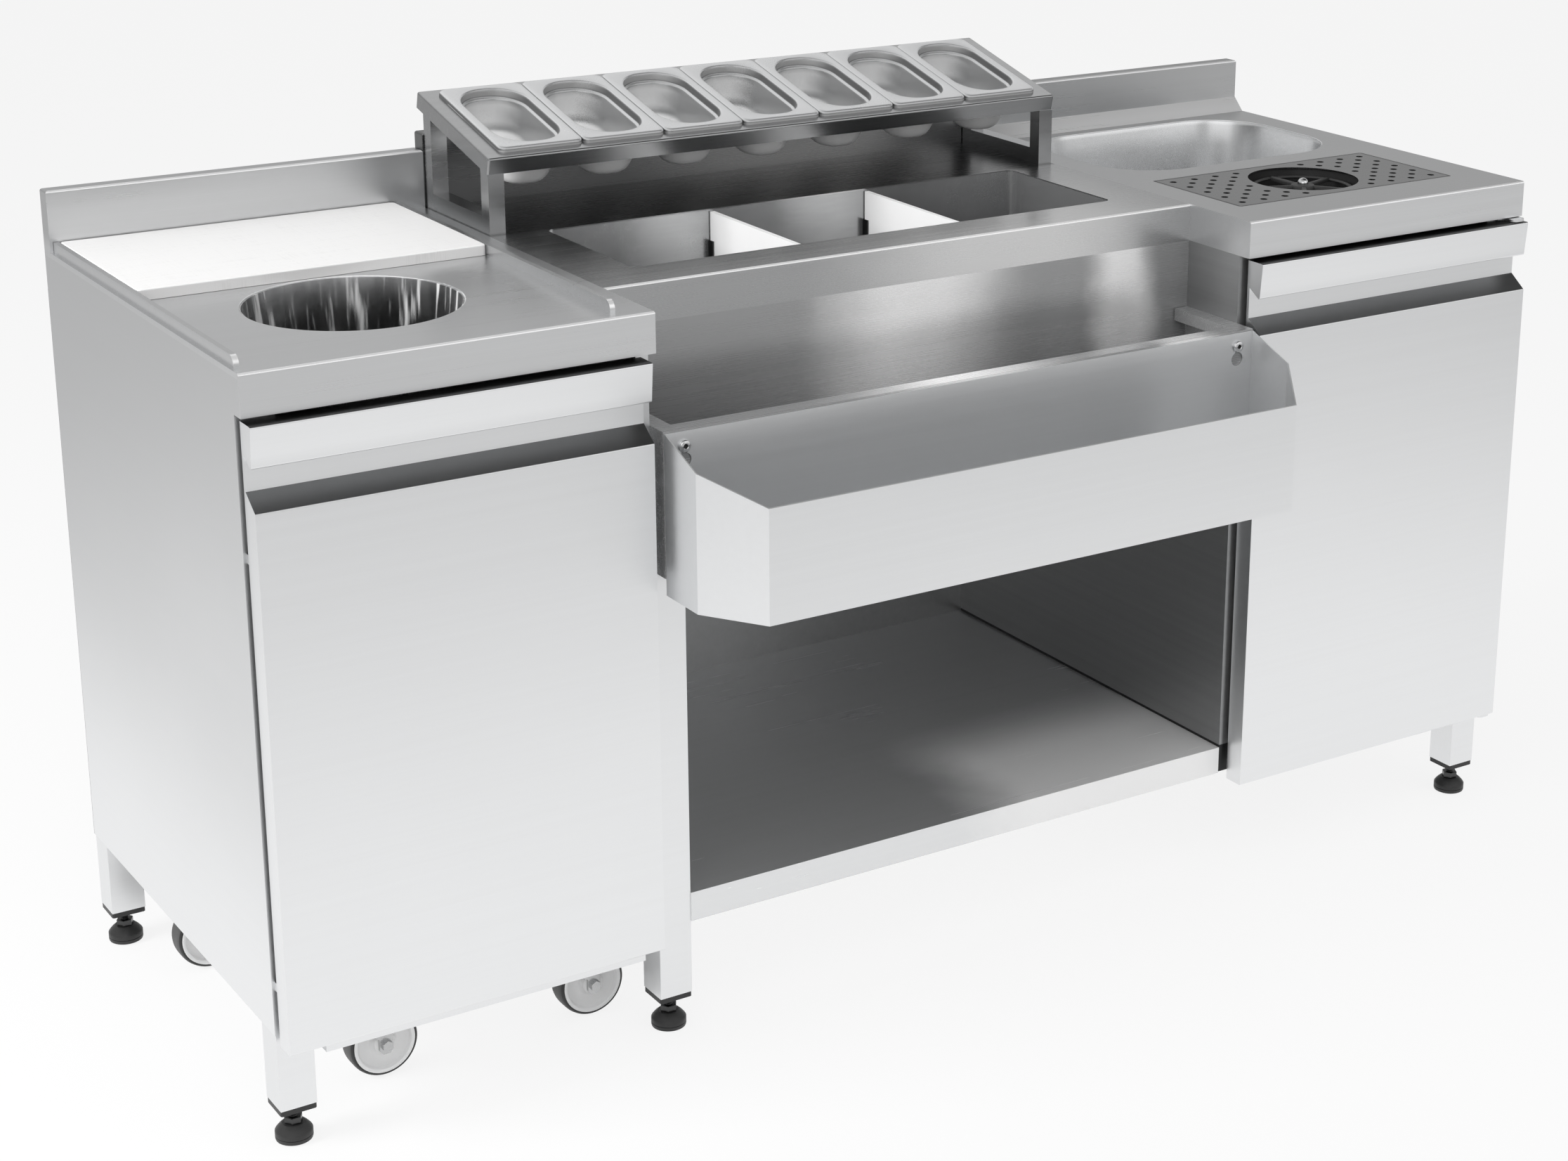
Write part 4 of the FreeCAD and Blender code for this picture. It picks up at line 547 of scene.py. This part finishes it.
def spinProfile(work, profile, steps, matrix, bands):
    # turns (radius, height) pairs into a skin, bands gives each stretch its material
    rings = []
    for radius, height in profile:
        if radius < 1e-7:
            rings.append([work.verts.new(matrix @ Vector((0, 0, height)))])
            continue
        turns = [2 * math.pi * step / steps for step in range(steps)]
        ring = [Vector((radius * math.cos(turn), radius * math.sin(turn), height)) for turn in turns]
        rings.append([work.verts.new(matrix @ point) for point in ring])
    for low, high, band in zip(rings, rings[1:], bands):
        for step in range(steps):
            after = (step + 1) % steps
            if len(low) == 1:
                points = (low[0], high[after], high[step])
            elif len(high) == 1:
                points = (low[step], low[after], high[0])
            else:
                points = (low[step], low[after], high[after], high[step])
            work.faces.new(points).material_index = band


def spinPlain(work, profile, steps, matrix, band=0):
    spinProfile(work, profile, steps, matrix, [band] * (len(profile) - 1))


def softRectangle(width, depth, radius, steps=10):
    points = []
    for quarter, (sideX, sideY) in enumerate(((1, 1), (-1, 1), (-1, -1), (1, -1))):
        middleX = sideX * (width / 2 - radius)
        middleY = sideY * (depth / 2 - radius)
        for step in range(steps + 1):
            turn = math.pi / 2 * (quarter + step / steps)
            points.append((middleX + radius * math.cos(turn), middleY + radius * math.sin(turn)))
    return points


def stackRings(work, rings, matrix):
    # rings are (width, depth, corner radius, height), first and last are closed off
    loops = []
    for width, depth, radius, height in rings:
        outline = [Vector((x, y, height)) for x, y in softRectangle(width, depth, radius)]
        loops.append([work.verts.new(matrix @ point) for point in outline])
    count = len(loops[0])
    for low, high in zip(loops, loops[1:]):
        for step in range(count):
            after = (step + 1) % count
            work.faces.new((low[step], low[after], high[after], high[step]))
    work.faces.new(list(reversed(loops[0])))
    work.faces.new(loops[-1])


def joinSeams(work):
    bmesh.ops.remove_doubles(work, verts=work.verts, dist=1e-6)


def keepPiece(name, work, finishes, body, replaced, sharp=35.0):
    bmesh.ops.recalc_face_normals(work, faces=work.faces)
    mesh = bpy.data.meshes.new(name)
    work.to_mesh(mesh)
    work.free()
    for finish in finishes:
        mesh.materials.append(finish)
    mesh.shade_smooth()
    mesh.set_sharp_from_angle(angle=math.radians(sharp))
    piece = bpy.data.objects.new(name, mesh)
    scene.collection.objects.link(piece)
    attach(piece, body)
    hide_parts(replaced)


# food pans: pressed one-ninth size with rolled rim, step and drawn bottom. inside is (inset from the mouth,
# height over the stand) from the rim down, edge is (inset, drop) of the rolled outer edge, both in mm
pan = {
    "width": 107.6 * mm, "length": 176 * mm, "rimRadius": 9 * mm, "rimTop": 6 * mm, "rimSheet": 1.2 * mm,
    "rimFlat": 5 * mm, "rimFlatRadius": 12 * mm, "skirt": 0.4 * mm, "wall": 1.0 * mm, "neck": 2 * mm,
    "mouthWidth": 84 * mm, "mouthLength": 150 * mm, "mouthRadius": 38 * mm,
    "edge": [(0.0, 3.4), (0.3, 2.0), (1.0, 0.9), (2.0, 0.3), (3.2, 0.0)],
    "lip": [(-2.6, 6.0), (-1.0, 5.6), (-0.2, 4.6)],
    "inside": [
        (0.0, 3.4), (0.1, -2.6), (0.4, -3.9), (1.3, -4.7), (2.6, -5.1), (3.4, -6.0), (3.8, -7.6),
        (4.4, -13.0), (6.4, -33.0), (7.4, -41.0), (9.2, -47.0), (12.0, -52.0), (16.0, -55.6),
        (21.0, -57.4), (27.0, -58.0)],
}


def panRings(values):
    # from the underside of the bottom up, round the rim and down the inside
    rim, top, wall, neck = (values[key] for key in ("rimRadius", "rimTop", "wall", "neck"))
    mouthWidth, mouthLength = values["mouthWidth"], values["mouthLength"]
    under = top - values["rimSheet"]

    def mouthRing(inset, height):
        return (mouthWidth - 2 * inset, mouthLength - 2 * inset, values["mouthRadius"] - inset, height)

    def rimRing(inset, height, radius=rim):
        return (values["width"] - 2 * inset, values["length"] - 2 * inset, radius, height)

    rings = [mouthRing(inset * mm - wall, height * mm - wall) for inset, height in reversed(values["inside"])]
    rings.append((mouthWidth + 2 * neck, mouthLength + 2 * neck, values["mouthRadius"], under))
    rings.append(rimRing(values["rimSheet"], under))
    rings.append(rimRing(wall, values["skirt"]))
    rings.append(rimRing(0.0, values["skirt"]))
    rings += [rimRing(inset * mm, top - drop * mm) for inset, drop in values["edge"]]
    rings.append(rimRing(values["rimFlat"], top, values["rimFlatRadius"]))
    rings += [mouthRing(inset * mm, height * mm) for inset, height in values["lip"] + values["inside"]]
    return rings


for number in range(1, 8):
    low, high = corners("pan_%d" % number)
    seat = Vector(((low.x + high.x) / 2, panSeat.y, panSeat.z))
    work = bmesh.new()
    stackRings(work, panRings(pan), Matrix.Translation(seat) @ panPlane)
    keepPiece(
        "panShell%d" % number, work, [satin["panSteel"]],
        "food_pan_%d" % number, "pan_%d" % number, 50.0)
print("food pans pressed")

# sink bowl: one drawn skin with a rolled lip. lip is (inset, drop) in mm
sink = {
    "radius": 90 * mm, "taper": 12.96 * mm, "blend": 45 * mm, "wall": 1.5 * mm, "dish": 3 * mm,
    "lip": [(-0.2, 0.0), (0.6, 2.0), (1.2, 5.0)], "wallSteps": 4, "blendSteps": 8,
}


def bowlRings(values, width, depth, top, floor):
    blend, wall = values["blend"], values["wall"]
    inner = [(inset * mm, top - drop * mm) for inset, drop in values["lip"]]
    lipInset, lipHeight = inner[-1]
    for step in range(1, values["wallSteps"] + 1):
        share = step / values["wallSteps"]
        inner.append((lipInset + values["taper"] * share, lipHeight + (floor + blend - lipHeight) * share))
    wallInset, wallFoot = inner[-1]
    for step in range(1, values["blendSteps"] + 1):
        turn = math.pi / 2 * step / values["blendSteps"]
        drop = (blend - values["dish"]) * math.sin(turn)
        inner.append((wallInset + blend * (1 - math.cos(turn)), wallFoot - drop))

    def ring(inset, height):
        return (width - 2 * inset, depth - 2 * inset, values["radius"] - inset, height)

    outside = [ring(inset - wall, height - wall) for inset, height in reversed(inner)]
    return outside + [ring(inset, height) for inset, height in inner]


low, high = corners("sink_bowl")
middle = (low + high) / 2
mouth = high - low - 2 * Vector(even(sink["wall"]))
work = bmesh.new()
stackRings(
    work, bowlRings(sink, mouth.x, mouth.y, high.z, low.z + sink["wall"]),
    Matrix.Translation((middle.x, middle.y, 0)))
keepPiece("sinkBowlSkin", work, [satin["bowlSteel"]], "station", "sink_bowl", 60.0)
print("sink bowl drawn")

# waste collar: polished turned ring with a rolled foot
collar = {"wall": 1.5 * mm, "flange": 12 * mm, "roll": 3 * mm, "taper": 8 * mm, "steps": 96}


def collarProfile(values, outer, low, high):
    wall, roll = values["wall"], values["roll"]
    inner = outer - values["flange"] - wall
    neck = inner - values["taper"]
    return [
        (inner, high), (neck, low + roll), (neck + roll * 0.3, low + roll * 0.3), (neck + roll, low),
        (neck + roll + wall, low + roll * 0.5), (neck + wall, low + roll + wall),
        (inner + wall, high - wall), (outer, high - wall), (outer, high), (inner, high)]


low, high = corners("waste_collar")
middle = (low + high) / 2
work = bmesh.new()
spinPlain(
    work, collarProfile(collar, (high.x - low.x) / 2, low.z, high.z), collar["steps"],
    Matrix.Translation((middle.x, middle.y, 0)))
joinSeams(work)
keepPiece("wasteCollarRing", work, [bright["rolledSteel"]], "station", "waste_collar")

# castor wheels: dished disc with a raised rim, dark seam ring and tread. boss, disc and seam are shares of
# the radius
wheel = {
    "boss": 0.30, "disc": 0.82, "seam": 0.89, "bore": 4.2 * mm, "bossStand": 0.8 * mm, "dish": 6.5 * mm,
    "steps": 72, "finishes": ["wheelDisc", "wheelRing", "wheelTread", "wheelRim"],
}


def wheelSide(values, radius, half):
    # (radius, height, finish) of one side, from the bore out to the tread
    disc, ring, tread, rim = range(len(values["finishes"]))
    boss, edge, seam = (radius * values[key] for key in ("boss", "disc", "seam"))
    dish = values["dish"]
    return [
        (values["bore"], half + 0.7 * mm, disc), (boss * 0.82, half + 0.7 * mm, disc),
        (boss, half - 0.4 * mm, disc), (boss + 1.5 * mm, half - dish * 0.7, disc),
        (boss + 4 * mm, half - dish, disc), (edge - 5 * mm, half - dish * 1.05, disc),
        (edge - 2.4 * mm, half - dish * 0.8, rim), (edge - 1.2 * mm, half - 0.8 * mm, rim),
        (edge, half, rim), (seam - 0.6 * mm, half, rim), (seam, half - 0.5 * mm, ring),
        (seam + 0.6 * mm, half - 0.2 * mm, ring), (radius * 0.94, half - 0.6 * mm, ring),
        (radius * 0.975, half - 2.6 * mm, tread), (radius * 0.995, half - 6 * mm, tread),
        (radius, half - 9 * mm, tread)]


for number in range(1, 5):
    low, high = corners("castor_wheel_%d" % number)
    side = wheelSide(wheel, (high.z - low.z) / 2, (high.y - low.y) / 2 - wheel["bossStand"])
    profile = [(radius, height) for radius, height, band in side]
    profile += [(radius, -height) for radius, height in reversed(profile)]
    profile.append(profile[0])
    bands = [band for radius, height, band in side[:-1]]
    bands += [side[-1][2]] + bands[::-1] + [side[0][2]]
    work = bmesh.new()
    spun = Matrix.Translation((low + high) / 2) @ Matrix.Rotation(math.pi / 2, 4, "X")
    spinProfile(work, profile, wheel["steps"], spun, bands)
    joinSeams(work)
    keepPiece(
        "wheelDisc%d" % number, work, [plastic[name] for name in wheel["finishes"]],
        "wheel_%d" % number, "castor_wheel_%d" % number)

# levelling feet: ribbed pad, threaded stem and nut. pad is (inset from the pad's radius, height) in mm
foot = {
    "padRadius": 20 * mm, "padHeight": 19 * mm, "padCrown": 12 * mm, "padSteps": 56,
    "stemRadius": 5 * mm, "stemSteps": 28,
    "pitch": 1.75 * mm, "threadRoot": 0.88, "stemTip": 0.7,
    "nutSides": 6, "nutRadius": 10 * mm, "nutHeight": 8 * mm, "nutEdge": 0.6 * mm, "nutFace": 0.93,
    "pad": [
        (2, 0), (0.5, 0.8), (0, 2.4), (0, 5.0), (0.7, 5.4), (0, 5.8), (0, 10.4), (0.8, 11.8), (4, 15.6),
        (6, 17.4)],
}


def padProfile(values):
    side = [(values["padRadius"] - inset * mm, height * mm) for inset, height in values["pad"]]
    return [(0, 0)] + side + [(values["padCrown"], values["padHeight"]), (0, values["padHeight"])]


def stemProfile(values, top):
    crest, pitch = values["stemRadius"], values["pitch"]
    root = crest * values["threadRoot"]
    height = values["padHeight"]
    stem = [(0, height)]
    while height < top - pitch:
        stem += [(root, height), (crest, height + pitch / 2)]
        height += pitch
    return stem + [(root, height), (crest * values["stemTip"], top), (0, top)]


def nutProfile(values):
    radius, edge, low = values["nutRadius"], values["nutEdge"], values["padHeight"]
    face = radius * values["nutFace"]
    top = low + values["nutHeight"]
    return [(0, low), (face, low), (radius, low + edge), (radius, top - edge), (face, top), (0, top)]


for number in range(1, 7):
    low, high = corners("foot_%d" % number)
    middle = Matrix.Translation(((low.x + high.x) / 2, (low.y + high.y) / 2, low.z))
    work = bmesh.new()
    spinPlain(work, padProfile(foot), foot["padSteps"], middle, 0)
    spinPlain(work, stemProfile(foot, high.z - low.z), foot["stemSteps"], middle, 1)
    spinPlain(work, nutProfile(foot), foot["nutSides"], middle, 1)
    keepPiece(
        "levelFoot%d" % number, work, [plastic["blackPlastic"], bright["darkSteel"]],
        "levelling_foot_%d" % number, "foot_%d" % number)
print("wheels and feet turned")

# glass rinser: black spray star with five arms, hoop and bright ball. bar is (cut, height) of an arm in mm
star = {
    "arms": 5, "reach": 62 * mm, "armWidth": 7 * mm, "armStart": 10 * mm, "hub": 16 * mm, "stem": 5 * mm,
    "crown": 15 * mm, "ball": 7 * mm, "ballHeight": 8 * mm, "hoopHalf": 3 * mm, "hoopRise": 2 * mm,
    "hoopHeight": 3 * mm, "bar": [(0.0, 1.0), (0.0, 4.2), (1.2, 5.4), (3.4, 6.0)],
    "hubSteps": 48, "hoopSteps": 96, "ballSteps": 40,
}


def hubProfile(values, depth):
    hub, stem = values["hub"], values["stem"]
    return [
        (0, -depth), (stem, -depth), (stem, 0), (hub - 1 * mm, 0), (hub, 1 * mm), (hub, 4 * mm),
        (hub - 1.5 * mm, 6.2 * mm), (hub - 5 * mm, 7 * mm), (0, 7 * mm)]


def hoopProfile(values, steps=12):
    turns = [2 * math.pi * step / steps for step in range(steps + 1)]
    return [
        (values["reach"] + values["hoopHalf"] * math.cos(turn),
         values["hoopHeight"] + values["hoopRise"] * math.sin(turn)) for turn in turns]


def ballProfile(values, steps=20):
    ball = values["ball"]
    turns = [math.pi * step / steps for step in range(steps + 1)]
    return [(ball * math.sin(turn), values["ballHeight"] - ball * math.cos(turn)) for turn in turns]


def armRings(values, length):
    width = values["armWidth"]
    return [
        (length - cut * mm, width - cut * mm, width / 2 - (cut / 2 + 0.1) * mm, height * mm)
        for cut, height in values["bar"]]


low, high = corners("rinser_star")
base = high.z - star["crown"]
seat = Matrix.Translation(((low.x + high.x) / 2, (low.y + high.y) / 2, base))
work = bmesh.new()
spinPlain(work, hubProfile(star, base - low.z), star["hubSteps"], seat)
spinPlain(work, hoopProfile(star), star["hoopSteps"], seat)
spinPlain(work, ballProfile(star), star["ballSteps"], seat, 1)
joinSeams(work)
armLength = star["reach"] - star["armStart"]
armMiddle = Matrix.Translation((star["armStart"] + armLength / 2, 0, 0))
for step in range(star["arms"]):
    turned = seat @ Matrix.Rotation(math.pi / 2 + 2 * math.pi * step / star["arms"], 4, "Z")
    stackRings(work, armRings(star, armLength), turned @ armMiddle)
keepPiece(
    "rinserSpray", work, [plastic["blackPlastic"], bright["polishedSteel"]],
    "rinser_head", "rinser_star")

# shoulder screws that carry the speed rail; the socket in the head is painted black for the shade in it
screw = {"shank": 3 * mm, "head": 7 * mm, "socket": 2.6 * mm, "headDepth": 4 * mm, "steps": 48}


def screwProfile(values, reach):
    # (radius, height, finish) from the wall out to the bottom of the socket
    shank, head, socket = values["shank"], values["head"], values["socket"]
    under = reach - values["headDepth"]
    return [
        (0, 0, 0), (shank, 0, 0), (shank, under, 0), (head, under, 0), (head, under + 2.0 * mm, 0),
        (head - 0.5 * mm, under + 3.0 * mm, 0), (head - 1.7 * mm, under + 3.8 * mm, 0),
        (socket + 0.6 * mm, reach, 0), (socket, reach - 0.5 * mm, 1), (socket, under + 1.8 * mm, 1),
        (0, under + 1.6 * mm, 1)]


low, high = corners("hanger_screws")
side = screwProfile(screw, high.y - low.y)
outward = Matrix.Rotation(math.pi / 2, 4, "X")
work = bmesh.new()
for x in (low.x + screw["head"], high.x - screw["head"]):
    place = Matrix.Translation((x, high.y, (low.z + high.z) / 2)) @ outward
    profile = [(radius, height) for radius, height, band in side]
    spinProfile(work, profile, screw["steps"], place, [band for radius, height, band in side])
keepPiece(
    "hangerHeads", work, [bright["polishedSteel"], plastic["blackPlastic"]],
    "station", "hanger_screws")
print("rinser and screws made")

# camera at the photograph's view, principal point off centre. focal and principal are in pixels of the frame
view = {
    "place": (-1.7502, -2.7595, 1.5993), "azimuth": 33.95, "elevation": 17.217, "roll": -0.5915,
    "focal": 4048.1, "principal": (1336.2, 625.6), "frame": (2232, 1652), "sensor": 36.0,
}


def aimCamera(values):
    azimuth, elevation, roll = (math.radians(values[key]) for key in ("azimuth", "elevation", "roll"))
    ahead = Vector((math.sin(azimuth), math.cos(azimuth), 0))
    forward = ahead * math.cos(elevation) - Vector((0, 0, math.sin(elevation)))
    level = Vector((math.cos(azimuth), -math.sin(azimuth), 0))
    down = forward.cross(level)
    right = level * math.cos(roll) + down * math.sin(roll)
    lower = down * math.cos(roll) - level * math.sin(roll)
    turn = Matrix((right, -lower, -forward)).transposed().to_4x4()
    wide, tall = values["frame"]
    data = bpy.data.cameras.new("photoCamera")
    data.sensor_fit = "HORIZONTAL"
    data.sensor_width = values["sensor"]
    data.lens = values["focal"] / wide * values["sensor"]
    data.shift_x = (wide / 2 - values["principal"][0]) / wide
    data.shift_y = (values["principal"][1] - tall / 2) / wide
    data.clip_end = 100.0
    camera = bpy.data.objects.new("photoCamera", data)
    camera.matrix_world = Matrix.Translation(values["place"]) @ turn
    scene.collection.objects.link(camera)
    scene.camera = camera


aimCamera(view)

# pale floor that stays white to the eye and keeps a soft shadow. In mirrors it dims between near and far,
# which are distances from the object's plan
floorLook = {
    "size": 30.0, "drop": 0.5 * mm, "dark": 0.78, "light": 0.80, "mottle": 3.0,
    "white": 1.0, "share": 0.85, "near": 0.3, "far": 2.6, "dim": 0.60,
}


def floorPaint(look):
    graph = newMaterial("floorPaint")
    path = graph.add("ShaderNodeLightPath")
    seen = graph.add("ShaderNodeClamp", None, {
        "Value": path["Is Camera Ray"] + path["Is Glossy Ray"] + path["Is Transmission Ray"]})["Result"]
    mottle = noiseAlong(graph, even(look["mottle"]), 4.0)
    paint = mixColour(graph, mottle, grey(look["dark"]), grey(look["light"]))
    halfPlan = [(high - low) / 2 for low, high in zip(*cadBox)]
    place = objectPlace(graph)
    mirrored = graph.add("ShaderNodeVectorMath", {"operation": "ABSOLUTE"}, {0: place})["Vector"]
    values = {0: mirrored, 1: halfPlan}
    past = components(graph, graph.add("ShaderNodeVectorMath", {"operation": "SUBTRACT"}, values)["Vector"])
    away = past["X"].math("MAXIMUM", past["X"], past["Y"])
    far = towards(graph, away, look["near"], look["far"])
    glow = mixColour(graph, far * path["Is Glossy Ray"], grey(1.0), grey(look["dim"]))
    matte = graph.add("ShaderNodeBsdfDiffuse", None, {"Color": paint})["BSDF"]
    shine = graph.add("ShaderNodeEmission", None, {"Color": glow, "Strength": look["white"]})["Emission"]
    values = {0: seen * look["share"], 1: matte, 2: shine}
    mixed = graph.add("ShaderNodeMixShader", None, values)["Shader"]
    graph.add("ShaderNodeOutputMaterial", None, {"Surface": mixed})
    return graph.owner


work = bmesh.new()
bmesh.ops.create_grid(work, x_segments=1, y_segments=1, size=floorLook["size"] / 2)
floorMesh = bpy.data.meshes.new("studioFloor")
work.to_mesh(floorMesh)
work.free()
floorMesh.materials.append(floorPaint(floorLook))
floor = bpy.data.objects.new("studioFloor", floorMesh)
floor.location = (0, 0, cadBox[0][2] - floorLook["drop"])
scene.collection.objects.link(floor)

# soft studio: grey room with a brighter ceiling and a dark flag, one wide overhead box and three fills
studio = {
    "room": [
        (0.0, grey(0.50)), (0.49, grey(0.50)), (0.60, grey(0.56)), (0.66, grey(0.60)), (0.76, grey(0.74)),
        (0.86, grey(0.80)), (0.93, grey(0.50)), (1.0, grey(0.30))],
    "roomStrength": 0.9,
    "flag": {"towards": (0.53, -0.05, 0.84), "edge": 0.76, "core": 0.96, "shade": grey(0.06)},
    "lamps": {
        "overheadBox": {
            "place": (-0.4, -0.9, 3.0), "aim": (0, 0, 0.8), "size": (3.2, 2.2), "power": 30.0,
            "mirrored": False},
        "leftFill": {
            "place": (-3.4, 0.3, 2.0), "aim": (0.0, 0.1, 0.8), "size": (1.2, 1.2), "power": 100.0,
            "mirrored": False},
        "frontFill": {
            "place": (-2.6, -3.4, 2.2), "aim": (0, 0, 0.5), "size": (4.0, 3.2), "power": 22.0,
            "mirrored": True},
        "rightFill": {
            "place": (2.1, -2.8, 2.3), "aim": (0.3, 0, 0.6), "size": (3.8, 2.8), "power": 15.0,
            "mirrored": True},
    },
}


def paintRoom(values):
    flag = values["flag"]
    scene.world = bpy.data.worlds.new("studioRoom")
    graph = Graph(scene.world)
    direction = graph.add("ShaderNodeTexCoord")["Generated"]
    height = components(graph, direction)["Z"] * 0.5 + 0.5
    room = graph.add("ShaderNodeValToRGB", {"stops": values["room"]}, {"Fac": height})["Color"]
    covered = towards(graph, along(graph, direction, flag["towards"]), flag["edge"], flag["core"])
    colours = {"Color": mixColour(graph, covered, room, flag["shade"]), "Strength": values["roomStrength"]}
    back = graph.add("ShaderNodeBackground", None, colours)["Background"]
    graph.add("ShaderNodeOutputWorld", None, {"Surface": back})


def hangLamp(name, values):
    data = bpy.data.lights.new(name, "AREA")
    data.shape = "RECTANGLE"
    data.size, data.size_y = values["size"]
    data.energy = values["power"]
    lamp = bpy.data.objects.new(name, data)
    lamp.location = values["place"]
    lamp.visible_glossy = values["mirrored"]
    beam = Vector(values["aim"]) - Vector(values["place"])
    lamp.rotation_euler = beam.to_track_quat("-Z", "Y").to_euler()
    scene.collection.objects.link(lamp)


paintRoom(studio)
for name, values in studio["lamps"].items():
    hangLamp(name, values)
scene.view_settings.view_transform = "Standard"
print("camera, floor and light set")
